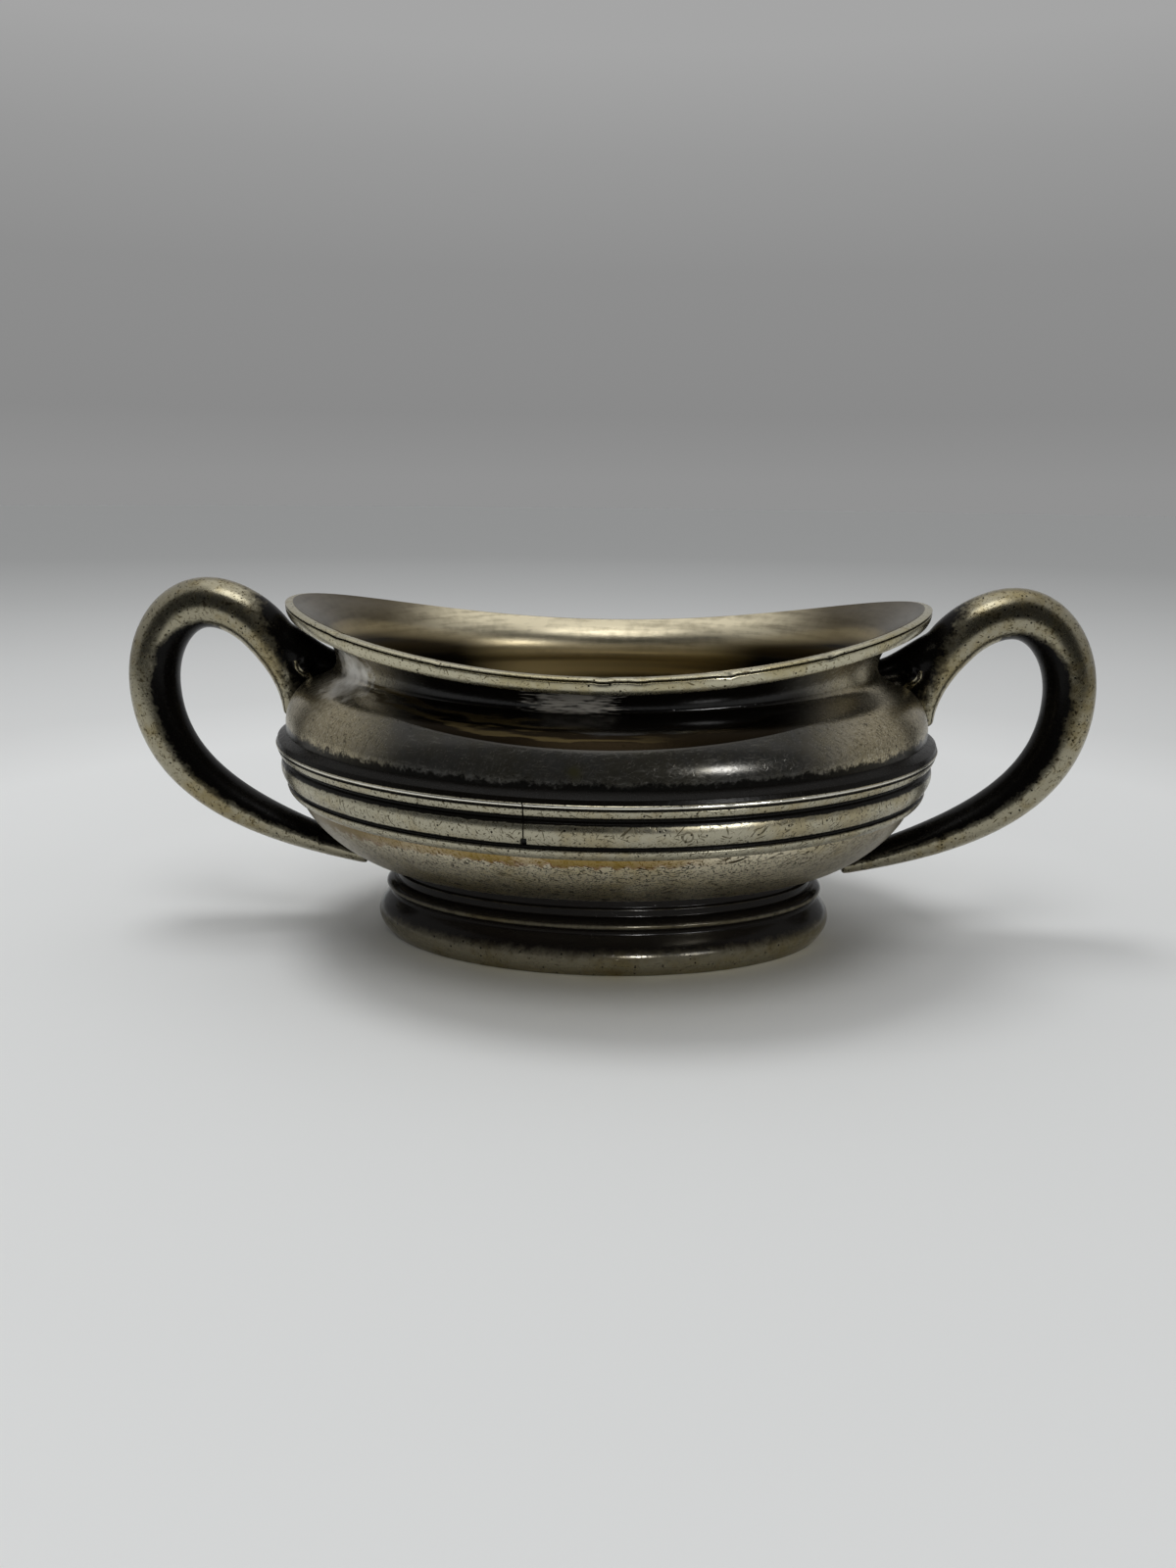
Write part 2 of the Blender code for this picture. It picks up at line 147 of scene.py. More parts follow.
def add(tree, kind, inputs, output=0, **settings):
    """Add one node with its settings and return one of its outputs.

    An input takes a value or another node's output. On a Mix node input 0 is the share, 2 and 3 are
    its two numbers, 6 and 7 its two colours, and output 2 is the mixed colour.
    """
    made = tree.nodes.new("ShaderNode" + kind)
    for name, value in settings.items():
        setattr(made, name, value)
    for name, value in inputs.items():
        if isinstance(value, bpy.types.NodeSocket):
            tree.links.new(value, made.inputs[name])
        else:
            made.inputs[name].default_value = value
    return made.outputs[output]


def worn_plate(name, silver, yellow, black, scratch, yellowing, specks, scratches, roughness,
               ragged_by=1.0):
    """Worn silver plate: pale metal clouded with yellow tarnish, black where patina is left.

    The eye gets a broken gloss from brown specks, small pits and fine scratches, and ragged patina
    edges. The first four are colours; yellowing, specks and scratches run from 0 to 1, and ragged_by
    says how far the mottle breaks the edges of the patina.
    """
    material = bpy.data.materials.new(name)
    material.use_nodes = True
    tree = material.node_tree
    shader = tree.nodes["Principled BSDF"]
    # Bare metal doesn't use this level, and with more of it black patina looks milky
    shader.inputs["Specular IOR Level"].default_value = 0.12
    place = add(tree, "TexCoord", {}, "Object", name="place")
    noises = []
    for label, size, detail in (("cloud", 12.0, 3.0), ("mottle", 1.6, 4.0), ("grain", 0.45, 2.0)):
        pattern = {"Vector": place, "Scale": 1 / (size * MM), "Detail": detail}
        noises.append(add(tree, "TexNoise", pattern, "Fac", name=label))
    cloud, mottle, grain = noises
    clouded = add(tree, "Math", {0: mottle, 1: 0.5, 2: cloud}, operation="MULTIPLY_ADD")
    clouded = add(tree, "MapRange", {"Value": clouded, "From Min": 0.85 - 0.3 * yellowing,
                                     "From Max": 1.05 - 0.3 * yellowing})
    metal = add(tree, "Mix", {0: clouded, 6: colour(silver), 7: colour(yellow)}, 2, data_type="RGBA")

    # Brown specks let some of the metal through; the pits among them are black and have depth
    freckles = add(tree, "Math", {0: mottle, 1: 0.4, 2: grain}, operation="MULTIPLY_ADD")
    freckles = add(tree, "MapRange", {"Value": freckles, "From Min": 0.95 - 0.16 * specks,
                                      "From Max": 1.05 - 0.16 * specks, "To Max": 0.75},
                   interpolation_type="SMOOTHSTEP")
    metal = add(tree, "Mix", {0: freckles, 6: metal, 7: colour("#40351f")}, 2, data_type="RGBA")
    cells = add(tree, "TexVoronoi", {"Vector": place, "Scale": 1 / (0.7 * MM)}).node.outputs
    pits = add(tree, "MapRange", {"Value": cells["Distance"], "From Min": 0.3, "From Max": 0.16},
               interpolation_type="SMOOTHSTEP")
    chance = add(tree, "SeparateColor", {0: cells["Color"]})
    chance = add(tree, "Math", {0: chance, 1: 0.3 * specks}, operation="LESS_THAN")
    pits = add(tree, "Math", {0: pits, 1: chance}, operation="MULTIPLY")
    metal = add(tree, "Mix", {0: pits, 6: metal, 7: colour(black)}, 2, data_type="RGBA")

    # Scratches lie across each other at four slants and are dull against the gloss. They are drawn
    # 0.25 mm wide, coarser than real ones, so that they show
    lines = 0.0
    for slant, run in ((0.42, 3.0), (-0.3, 4.0), (1.3, 2.6), (-0.9, 3.4)):
        bent = add(tree, "Mapping", {"Vector": place, "Location": (run * MM, 0.0, slant * MM),
                                     "Rotation": (0.1, slant, 0.2),
                                     "Scale": (run * MM, 0.25 * MM, 0.25 * MM)}, vector_type="TEXTURE")
        line = add(tree, "TexNoise", {"Vector": bent, "Scale": 1.0, "Detail": 1.0}, "Fac")
        line = add(tree, "MapRange", {"Value": line, "From Min": 0.72 - 0.1 * scratches,
                                      "From Max": 0.78 - 0.1 * scratches})
        lines = add(tree, "Math", {0: line, 1: lines}, operation="MAXIMUM")
    metal = add(tree, "Mix", {0: lines, 6: metal, 7: colour(scratch)}, 2, data_type="RGBA")

    # Patina is black in the recesses, with edges as ragged as the mottle; on the handles the black is partly
    # painted shade
    patina_and_painted_light = add(tree, "Attribute", {}, "Fac", attribute_name="patina_and_painted_light")
    ragged = add(tree, "Math", {0: mottle, 1: 0.9 * ragged_by, 2: patina_and_painted_light}, operation="MULTIPLY_ADD")
    ragged = add(tree, "Math", {0: grain, 1: 0.5 * ragged_by, 2: ragged}, operation="MULTIPLY_ADD")
    dark_share = add(tree, "MapRange", {"Value": ragged, "From Min": 0.44 + 0.7 * ragged_by,
                                     "From Max": 0.74 + 0.7 * ragged_by},
                  interpolation_type="SMOOTHSTEP")
    metal = add(tree, "Mix", {0: dark_share, 6: metal, 7: colour(black)}, 2, data_type="RGBA")
    dull = add(tree, "Math", {0: mottle, 1: 0.24, 2: roughness - 0.12}, operation="MULTIPLY_ADD")
    dull = add(tree, "Math", {0: lines, 1: 0.12, 2: dull}, operation="MULTIPLY_ADD")
    bare = add(tree, "Math", {0: dark_share, 1: -0.9, 2: 1.0}, operation="MULTIPLY_ADD")
    tree.links.new(metal, shader.inputs["Base Color"])
    tree.links.new(dull, shader.inputs["Roughness"])
    tree.links.new(bare, shader.inputs["Metallic"])
    relief = add(tree, "Math", {0: mottle, 1: 0.6, 2: grain}, operation="MULTIPLY_ADD")
    relief = add(tree, "Math", {0: pits, 1: -1.2, 2: relief}, operation="MULTIPLY_ADD")
    relief = add(tree, "Math", {0: lines, 1: -0.5, 2: relief}, operation="MULTIPLY_ADD")
    bump = add(tree, "Bump", {"Height": relief, "Strength": 0.3, "Distance": 0.03 * MM})
    tree.links.new(bump, shader.inputs["Normal"])
    return material


foot_low, foot_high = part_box("foot_ring")
foot_half_length = foot_high.x - FOOT_BASE_OUT
foot_half_width = foot_high.y - FOOT_BASE_OUT
ridge_foot = FOOT_BASE_HEIGHT + FOOT_COVE_HEIGHT
ridge_top = ridge_foot + FOOT_RIDGE_HEIGHT
ridge_depth = FOOT_RIDGE_OUT - FOOT_COVE_OUT
fillets_out = FOOT_FILLETS * FOOT_FILLET_OUT

# A point of the section is out, height and patina
section = []
base = bulge((FOOT_TREAD_OUT, 0.0), (FOOT_COVE_OUT, FOOT_BASE_HEIGHT), FOOT_BASE_OUT, FOOT_BASE_STEPS)
for out, height in base:
    section.append((out, height, 0.42 + 0.42 * height / FOOT_BASE_HEIGHT))
ridge = bulge((FOOT_COVE_OUT, ridge_foot), (fillets_out, ridge_top), FOOT_RIDGE_OUT, FOOT_RIDGE_STEPS)
for out, height in ridge:
    section.append((out, height, 0.95 - 0.3 * (out - FOOT_COVE_OUT) / ridge_depth))
for step in range(FOOT_FILLETS):
    out = fillets_out - (step + 1) * FOOT_FILLET_OUT
    low = ridge_top + step * FOOT_FILLET_HEIGHT
    section += [(out, low, 1.0), (out, low + FOOT_FILLET_HEIGHT, 0.68)]
section += [(-FOOT_WALL, foot_high.z, 1.0), (FOOT_COVE_OUT - FOOT_WALL, FOOT_BASE_HEIGHT, 0.6)]
section += [(FOOT_TREAD_OUT - FOOT_TREAD_WIDTH, 0.0, 0.3)]
rows = []
for out, height, darkness in section:
    rows.append((foot_half_length + out, foot_half_width + out, height, 0.0, darkness))
foot_ring = oval_wall("foot_ring_plate", rows)
close_section()
round_edges(EDGE_ROUND)
settle(foot_ring, "foot_ring")

# Darkened plate gives a black gloss, with dull yellow-grey metal where it is rubbed
plate = worn_plate("darkened silver plate", "#857f6b", "#7a7052", "#0c0a08", "#4a4433",
                   yellowing=0.5, specks=0.5, scratches=0.2, roughness=0.16, ragged_by=0.1)
foot_ring.data.materials.append(plate)


# Lower shell: the lower half of the bowl, with a flat bottom soldered to the foot.
# Pressed sheet, plated; its plate is scratched and pitted from use and darker towards the ends.
WALL = 1.1 * MM
SEAT_MARGIN = 0.8 * MM
LOWER_PULL_LONG = 5.5 * MM
LOWER_PULL_ACROSS = 2.0 * MM
LOWER_WALL_PULL = 5.0 * MM
WALL_TAPER = 0.16
BELLY_LIFT = 0.9 * MM
LOWER_STEPS = 24
POLE_SCALE = 0.02
BOTTOM_PATINA = 0.9
BRIM_PATINA = 0.3


def curve(start, pull_a, pull_b, end, steps):
    """Rows along one cubic curve, both ends included; every number of a row follows the curve."""
    rows = []
    for i in range(steps + 1):
        t = i / steps
        s = 1 - t
        shares = (s ** 3, 3 * s * s * t, 3 * s * t * t, t ** 3)
        columns = zip(start, pull_a, pull_b, end)
        rows.append(tuple(sum(k * v for k, v in zip(shares, values)) for values in columns))
    return rows


def shift(row, *moves):
    """A row with each of its numbers moved."""
    return tuple(value + move for value, move in zip(row, moves))


def close_pole():
    """Draw the open oval that is selected in to its middle and merge it there."""
    bpy.ops.mesh.extrude_region()
    bpy.ops.transform.resize(value=(POLE_SCALE, POLE_SCALE, 1.0))
    bpy.ops.mesh.merge(type="CENTER")


def thicken(piece):
    """Give the sheet its thickness inwards; the attribute inside is 1 on its inner face."""
    bpy.ops.mesh.select_all(action="SELECT")
    bpy.ops.mesh.normals_make_consistent(inside=False)
    faces = bmesh.from_edit_mesh(piece.data).faces
    if sum(face.normal.xy.dot(face.calc_center_median().xy) for face in faces) < 0:
        bpy.ops.mesh.flip_normals()
    bpy.ops.object.mode_set(mode="OBJECT")
    outer = len(piece.data.vertices)
    sheet = piece.modifiers.new("sheet", "SOLIDIFY")
    sheet.thickness = WALL
    sheet.offset = -1.0
    sheet.use_even_offset = True
    bpy.ops.object.modifier_apply(modifier=sheet.name)
    inside = piece.data.attributes.new("inside", "FLOAT", "POINT")
    for i in range(outer, len(piece.data.vertices)):
        inside.data[i].value = 1.0
        piece.data.attributes["patina_and_painted_light"].data[i].value = 0.0
    bpy.ops.object.mode_set(mode="EDIT")


def lay_film(plate, mask, tint, roughness, metallic=1.0):
    """Cover the plate with a film where mask is 1: its own colour, gloss and share of bare metal."""
    tree = plate.node_tree
    shader = tree.nodes["Principled BSDF"]
    below = shader.inputs["Base Color"].links[0].from_socket
    cover = add(tree, "Mix", {0: mask, 6: below, 7: colour(tint)}, 2, data_type="RGBA")
    tree.links.new(cover, shader.inputs["Base Color"])
    for socket, amount in (("Roughness", roughness), ("Metallic", metallic)):
        below = shader.inputs[socket].links[0].from_socket
        cover = add(tree, "Mix", {0: mask, 2: below, 3: amount}, data_type="FLOAT")
        tree.links.new(cover, shader.inputs[socket])


lower_low, lower_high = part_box("lower_shell")
upper_low, upper_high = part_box("upper_shell")
strip_low, strip_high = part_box("belly_moulding")
belly_half_length = upper_high.x
belly_half_width = upper_high.y
strip_bottom = strip_low.z
strip_top = strip_high.z - BELLY_LIFT


def wall_row(height, patina_and_painted_light):
    """The plain wall behind the belly moulding, which leans in downwards."""
    inward = WALL_TAPER * max(strip_top - height, 0.0)
    return (belly_half_length - inward, belly_half_width - inward, height, BELLY_LIFT, patina_and_painted_light)


bottom = (foot_half_length + SEAT_MARGIN, foot_half_width + SEAT_MARGIN, lower_low.z, 0.0, BOTTOM_PATINA)
brim = wall_row(strip_bottom, BRIM_PATINA)
lean = LOWER_WALL_PULL * WALL_TAPER
lower_rows = curve(bottom, shift(bottom, LOWER_PULL_LONG, LOWER_PULL_ACROSS, 0.0, 0.0, -BOTTOM_PATINA),
                   shift(brim, -lean, -lean, -LOWER_WALL_PULL, 0.0, -BRIM_PATINA), brim, LOWER_STEPS)
lower_rows.append(wall_row(lower_high.z - BELLY_LIFT, 1.0))
lower_shell = oval_wall("lower_shell_plate", lower_rows[::-1])
close_pole()
thicken(lower_shell)
settle(lower_shell, "lower_shell")

# Scratched plate gives a warm pale grey, broken by dark scratches and pits
plate = worn_plate("scratched silver plate", "#e0d7bd", "#cfc29c", "#14110d", "#353024",
                   yellowing=0.4, specks=0.35, scratches=1.0, roughness=0.3)
lower_shell.data.materials.append(plate)

# A broken yellow streak under the belly moulding at the front left, with an orange lower edge.
# Its two films start and are full at heights in mm
STREAK_FILMS = ((22.75, 22.85, "#86501f"), (22.95, 23.2, "#8f7d3a"))
STREAK_ENDS = 20 * MM
STREAK_FULL = 4 * MM
tree = plate.node_tree
cloud = tree.nodes["cloud"].outputs["Fac"]
mottle = tree.nodes["mottle"].outputs["Fac"]
parts = add(tree, "SeparateXYZ", {0: tree.nodes["place"].outputs["Object"]}).node.outputs
rise = add(tree, "Math", {0: mottle, 1: 3.0, 2: -1.0}, operation="MULTIPLY_ADD")
rise = add(tree, "Math", {0: parts["Z"], 1: 1 / MM, 2: rise}, operation="MULTIPLY_ADD")
left = add(tree, "MapRange", {"Value": parts["X"], "From Min": STREAK_ENDS, "From Max": STREAK_FULL,
                              "To Max": 0.65})
broken = add(tree, "MapRange", {"Value": cloud, "From Min": 0.2, "From Max": 0.5})
left = add(tree, "Math", {0: left, 1: broken}, operation="MULTIPLY")
for low, full, tint in STREAK_FILMS:
    high = add(tree, "MapRange", {"Value": rise, "From Min": low, "From Max": full})
    streak = add(tree, "Math", {0: high, 1: left}, operation="MULTIPLY")
    lay_film(plate, streak, tint, 0.35)

# The shell darkens towards both ends; inside it is duller, with brown stains
ENDS_FROM = 18 * MM
ENDS_FULL = 42 * MM
run = add(tree, "Math", {0: parts["X"], 1: parts["X"]}, operation="MULTIPLY")
ends = add(tree, "MapRange", {"Value": run, "From Min": ENDS_FROM ** 2, "From Max": ENDS_FULL ** 2,
                              "To Max": 0.8})
lay_film(plate, ends, "#6b614c", 0.35)
inside = add(tree, "Attribute", {}, "Fac", attribute_name="inside")
mask = add(tree, "Math", {0: inside, 1: 0.7}, operation="MULTIPLY")
lay_film(plate, mask, "#a2967a", 0.32)
stains = add(tree, "Math", {0: mottle, 1: 0.6, 2: cloud}, operation="MULTIPLY_ADD")
stains = add(tree, "MapRange", {"Value": stains, "From Min": 0.72, "From Max": 1.0, "To Max": 0.7})
mask = add(tree, "Math", {0: inside, 1: stains}, operation="MULTIPLY")
lay_film(plate, mask, "#4d432c", 0.4)


# Upper shell: shoulder, hollow neck and flaring lip of the bowl, which rises towards the handles.
# Pressed sheet, plated; the shoulder is dark and glossy, partly from tarnish and partly a painted dark
# reflection of the room, its cheeks towards the handles are painted pale as a reflection of the bright
# sides, and the hollow of the neck holds black tarnish.
SHOULDER_FLAT = 1.1 * MM
SHOULDER_RADIUS = 7.0 * MM
SHOULDER_TURN = math.radians(62)
SHOULDER_STEPS = 24
NECK_IN_LONG = 4.6 * MM
NECK_IN_ACROSS = 4.7 * MM
NECK_RISE = 1.8 * MM
NECK_LIFT = 2.6 * MM
NECK_STEPS = 20
LIP_UPRIGHT = 0.4
LIP_SLOPE_OUT = 0.6
LIP_SLOPE_UP = 0.28
LIP_PATINA_PULL = 0.7
RIM_OUT = 1.3 * MM
RIM_DROP = 1.0 * MM
GAP = 0.3 * MM
DEEP_LIFT = NECK_LIFT + 3.0 * MM
DEEP_FADE = 2.4 * MM
rim_low, rim_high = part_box("rim_moulding")
lip_half_length = rim_high.x - RIM_OUT
lip_half_width = rim_high.y - RIM_OUT
lip_height = rim_low.z + RIM_DROP
lip_lift = rim_high.z - lip_height - WALL - GAP
shoulder_in = SHOULDER_RADIUS * (1 - math.cos(SHOULDER_TURN))
shoulder_start = strip_top + SHOULDER_FLAT
neck_height = shoulder_start + SHOULDER_RADIUS * math.sin(SHOULDER_TURN) + NECK_RISE
upper_rows = [wall_row(upper_low.z - BELLY_LIFT + GAP, 1.0), wall_row(strip_top, 1.0)]
for i in range(SHOULDER_STEPS + 1):
    turn = SHOULDER_TURN * i / SHOULDER_STEPS
    out = -SHOULDER_RADIUS * (1 - math.cos(turn))
    height = shoulder_start + SHOULDER_RADIUS * math.sin(turn)
    darkness = max(0.0, 0.4 - 3 * i / SHOULDER_STEPS)
    upper_rows.append((belly_half_length + out, belly_half_width + out, height, BELLY_LIFT, darkness))
shoulder = upper_rows[-1]
neck = (belly_half_length - shoulder_in - NECK_IN_LONG, belly_half_width - shoulder_in - NECK_IN_ACROSS,
        neck_height, NECK_LIFT, 0.0)
lip = (lip_half_length, lip_half_width, lip_height, lip_lift, 0.6)
inward = NECK_RISE * math.sin(SHOULDER_TURN)
upward = NECK_RISE * math.cos(SHOULDER_TURN)
upper_rows += curve(shoulder, shift(shoulder, -inward, -inward, upward, 0.0, 0.0),
                    shift(neck, 0.0, 0.0, -NECK_RISE / 2, -NECK_LIFT / 2, 0.0), neck, NECK_STEPS)[1:]
pulls = (LIP_SLOPE_OUT, LIP_SLOPE_OUT, LIP_SLOPE_UP, LIP_SLOPE_UP, LIP_PATINA_PULL)
spread = [(high - low) * pull for high, low, pull in zip(lip, neck, pulls)]
rise = (lip_height - neck_height) * LIP_UPRIGHT
lift = (lip_lift - NECK_LIFT) * LIP_UPRIGHT
upper_rows += curve(neck, shift(neck, 0.0, 0.0, rise, lift, 0.0),
                    shift(lip, *[-move for move in spread]), lip, NECK_STEPS)[1:]
upper_shell = oval_wall("upper_shell_plate", upper_rows)
sheet_verts = len(upper_rows) * COLUMNS
thicken(upper_shell)
settle(upper_shell, "upper_shell")

# The lip is cut plumb, and the attribute deep is 1 inside the bowl below its neck
deep = upper_shell.data.attributes.new("deep", "FLOAT", "POINT")
for vert in upper_shell.data.vertices[sheet_verts:]:
    partner = upper_shell.data.vertices[vert.index - sheet_verts]
    if partner.index >= sheet_verts - COLUMNS:
        vert.co = partner.co + Vector((0.0, 0.0, WALL + GAP))
    below = neck_height + DEEP_LIFT * (partner.co.x / neck[0]) ** 2 - partner.co.z
    deep.data[vert.index].value = min(1.0, max(0.0, 0.5 + below / DEEP_FADE))

# Tarnished plate gives a cool gloss under films of brown, black and ochre
plate = worn_plate("tarnished silver plate", "#93928e", "#8d8877", "#0b0a08", "#c4c1ba",
                   yellowing=0.5, specks=0.05, scratches=0.35, roughness=0.18)
plate.node_tree.nodes["Principled BSDF"].inputs["Specular IOR Level"].default_value = 0.3
upper_shell.data.materials.append(plate)

# The films follow run, the squared distance from the middle with 1 at the ends, and over, the height in
# mm over the crease, which rises towards the ends
CREASE_HEIGHT = 40.0
CREASE_LIFT = 6.6
tree = plate.node_tree
place = tree.nodes["place"].outputs["Object"]
mottle = tree.nodes["mottle"].outputs["Fac"]
grain = tree.nodes["grain"].outputs["Fac"]
parts = add(tree, "SeparateXYZ", {0: place}).node.outputs
run = add(tree, "Math", {0: parts["X"], 1: belly_half_length}, operation="DIVIDE")
run = add(tree, "Math", {0: run, 1: run}, operation="MULTIPLY")
crease = add(tree, "Math", {0: run, 1: -CREASE_LIFT, 2: -CREASE_HEIGHT}, operation="MULTIPLY_ADD")
over = add(tree, "Math", {0: parts["Z"], 1: 1 / MM, 2: crease}, operation="MULTIPLY_ADD")
lengthwise = []
for length, height, detail in ((9.0, 0.7, 3.0), (2.4, 0.3, 2.0), (60.0, 2.6, 1.0)):
    stretch = add(tree, "Mapping", {"Vector": place, "Scale": (length * MM, length * MM, height * MM)},
                  vector_type="TEXTURE")
    pattern = {"Vector": stretch, "Scale": 1.0, "Detail": detail}
    lengthwise.append(add(tree, "TexNoise", pattern, "Fac"))
streaks, scuffs, rings = lengthwise
waver = add(tree, "Math", {0: streaks, 1: 2.4, 2: over}, operation="MULTIPLY_ADD")

# The dark middle of the shoulder with its scuffs, partly tarnish and partly a painted dark reflection of the
# room, and the pale cheeks, a painted reflection of the bright sides. Both are scratched at three slants,
# drawn 0.22 mm wide, coarser than real scratches, so that they show
middle = add(tree, "MapRange", {"Value": run, "From Min": 0.6, "From Max": 0.25, "To Max": 0.85},
             interpolation_type="SMOOTHSTEP")
lay_film(plate, middle, "#201f1c", 0.17, 0.6)
marks = add(tree, "MapRange", {"Value": scuffs, "From Min": 0.6, "From Max": 0.72, "To Max": 0.6})
mask = add(tree, "Math", {0: marks, 1: middle}, operation="MULTIPLY")
lay_film(plate, mask, "#66645e", 0.3, 0.4)
# The cheeks' pale film is a painted reflection of the bright sides
cheeks = add(tree, "MapRange", {"Value": run, "From Min": 0.25, "From Max": 0.6, "To Max": 0.85},
             interpolation_type="SMOOTHSTEP")
lay_film(plate, cheeks, "#a99d7f", 0.28)
for slant, tint in ((0.5, "#4a4230"), (-0.45, "#d6cfba"), (-1.2, "#4a4230")):
    bent = add(tree, "Mapping", {"Vector": place, "Location": (slant * MM, 0.0, 0.0),
                                 "Rotation": (0.1, slant, 0.2),
                                 "Scale": (2.4 * MM, 0.22 * MM, 0.22 * MM)}, vector_type="TEXTURE")
    brushed = add(tree, "TexNoise", {"Vector": bent, "Scale": 1.0, "Detail": 1.0}, "Fac")
    brushed = add(tree, "MapRange", {"Value": brushed, "From Min": 0.56, "From Max": 0.7, "To Max": 0.75})
    mask = add(tree, "Math", {0: brushed, 1: cheeks}, operation="MULTIPLY")
    lay_film(plate, mask, tint, 0.35)
    mask = add(tree, "Math", {0: brushed, 1: middle}, operation="MULTIPLY")
    lay_film(plate, mask, "#403e39", 0.32, 0.5)
ends = add(tree, "Math", {0: over, 1: 0.04, 2: run}, operation="MULTIPLY_ADD")
ends = add(tree, "MapRange", {"Value": ends, "From Min": 0.66, "From Max": 0.82, "To Max": 0.9},
           interpolation_type="SMOOTHSTEP")
lay_film(plate, ends, "#15120d", 0.22, 0.6)

# Black tarnish above the ledge of the belly moulding, with a ragged edge and wider towards the ends,
# and brown freckles on the cheeks
ledge = add(tree, "Math", {0: run, 1: -1.4, 2: -strip_top / MM}, operation="MULTIPLY_ADD")
ledge = add(tree, "Math", {0: parts["Z"], 1: 1 / MM, 2: ledge}, operation="MULTIPLY_ADD")
ledge = add(tree, "Math", {0: mottle, 1: -2.0, 2: ledge}, operation="MULTIPLY_ADD")
ledge = add(tree, "Math", {0: grain, 1: -1.5, 2: ledge}, operation="MULTIPLY_ADD")
mask = add(tree, "MapRange", {"Value": ledge, "From Min": -0.4, "From Max": -1.3, "To Max": 0.95},
           interpolation_type="SMOOTHSTEP")
lay_film(plate, mask, "#090806", 0.3, 0.9)
freckles = add(tree, "Math", {0: mottle, 1: 0.4, 2: grain}, operation="MULTIPLY_ADD")
freckles = add(tree, "MapRange", {"Value": freckles, "From Min": 0.84, "From Max": 0.92})
freckles = add(tree, "Math", {0: freckles, 1: cheeks}, operation="MULTIPLY")
lay_film(plate, freckles, "#2a2212", 0.4)

# Films in the hollow of the neck: brown with a sharp lower edge, a painted reflection of the lip's underside,
# black above it, two broken ochre lines, a thin grey line under the brown that is a painted highlight, and an
# abraded patch in front. Each runs between two heights, is full between the next two, and fades along the
# bowl
PATCH_AT = -4 * MM
PATCH_HALF = 9 * MM
OCHRE_FROM = -30 * MM
OCHRE_TO = 16 * MM
ahead = add(tree, "Math", {0: parts["X"], 1: -PATCH_AT}, operation="ADD")
ahead = add(tree, "Math", {0: ahead, 1: PATCH_HALF}, operation="DIVIDE")
ahead = add(tree, "Math", {0: ahead, 1: ahead, 2: streaks}, operation="MULTIPLY_ADD")
ahead = add(tree, "Math", {0: scuffs, 1: 2.0, 2: ahead}, operation="MULTIPLY_ADD")
left = add(tree, "MapRange", {"Value": parts["X"], "From Min": OCHRE_FROM, "From Max": OCHRE_TO})
# The brown row is a painted reflection of the lip's underside and the thin grey row a painted highlight
NECK_FILMS = ((over, (-1.14, 3.0), (-1.06, 2.2), run, (0.2, 0.42), "#161007", 0.25, 0.95),
              (waver, (1.7, 9.0), (2.1, 8.0), run, (0.2, 0.36), "#0a0806", 0.16, 0.1),
              (waver, (0.9, 1.6), (1.2, 1.3), left, (0.55, 0.95), "#3f351d", 0.4, 0.8),
              (waver, (1.9, 2.6), (2.2, 2.3), left, (0.3, 0.7), "#3f351d", 0.4, 0.8),
              (over, (-1.34, -1.08), (-1.28, -1.14), run, (0.1, 0.3), "#4c4a46", 0.4, 1.0),
              (waver, (3.4, 10.0), (3.9, 9.0), ahead, (1.35, 2.0), "#b3aea4", 0.5, 0.9))
for level, ends, full, along, fade, tint, gloss, bare in NECK_FILMS:
    mask = add(tree, "MapRange", {"Value": along, "From Min": fade[1], "From Max": fade[0]},
               interpolation_type="SMOOTHSTEP")
    for end, inner in zip(ends, full):
        share = add(tree, "MapRange", {"Value": level, "From Min": end, "From Max": inner},
                    interpolation_type="SMOOTHSTEP")
        mask = add(tree, "Math", {0: mask, 1: share}, operation="MULTIPLY")
    lay_film(plate, mask, tint, gloss, bare)

# Round spots, in mm: verdigris on the shoulder and a pale patch on the neck, front left, a painted reflection
SPOTS = (((-3.1, -39.4, 36.2), 1.5, "#35331f", 0.4, 0.5), ((-37.5, -15.5, 44.5), 5.6, "#fbf8f0", 0.35, 0.35))
for spot, size, tint, gloss, bare in SPOTS:
    away = add(tree, "VectorMath", {0: place, 1: Vector(spot) * MM}, "Value", operation="DISTANCE")
    away = add(tree, "Math", {0: away, 1: 1 / (size * MM)}, operation="MULTIPLY")
    away = add(tree, "Math", {0: mottle, 1: 1.6, 2: away}, operation="MULTIPLY_ADD")
    mask = add(tree, "MapRange", {"Value": away, "From Min": 1.9, "From Max": 1.0})
    lay_film(plate, mask, tint, gloss, bare)

# Inside, the flare of the lip is worn bright and stained, and the wall below the neck is brown in faint
# rings, painted as reflected bands, and black at the ends
inside = add(tree, "Attribute", {}, "Fac", attribute_name="inside")
deep = add(tree, "Attribute", {}, "Fac", attribute_name="deep")
INSIDE_FILMS = ((inside, 0.2, 0.6, "#d2c8ac", "#5e5542", 0.28, 1.0),
                (deep, 0.06, 0.3, "#dcc792", "#0f0b07", 0.35, 0.2))
for where, end_from, end_to, tint, end_tint, gloss, bare in INSIDE_FILMS:
    lay_film(plate, where, tint, gloss, bare)
    ends = add(tree, "MapRange", {"Value": run, "From Min": end_from, "From Max": end_to},
               interpolation_type="SMOOTHSTEP")
    mask = add(tree, "Math", {0: where, 1: ends}, operation="MULTIPLY")
    lay_film(plate, mask, end_tint, gloss, bare)
stains = add(tree, "Math", {0: mottle, 1: 0.5, 2: streaks}, operation="MULTIPLY_ADD")
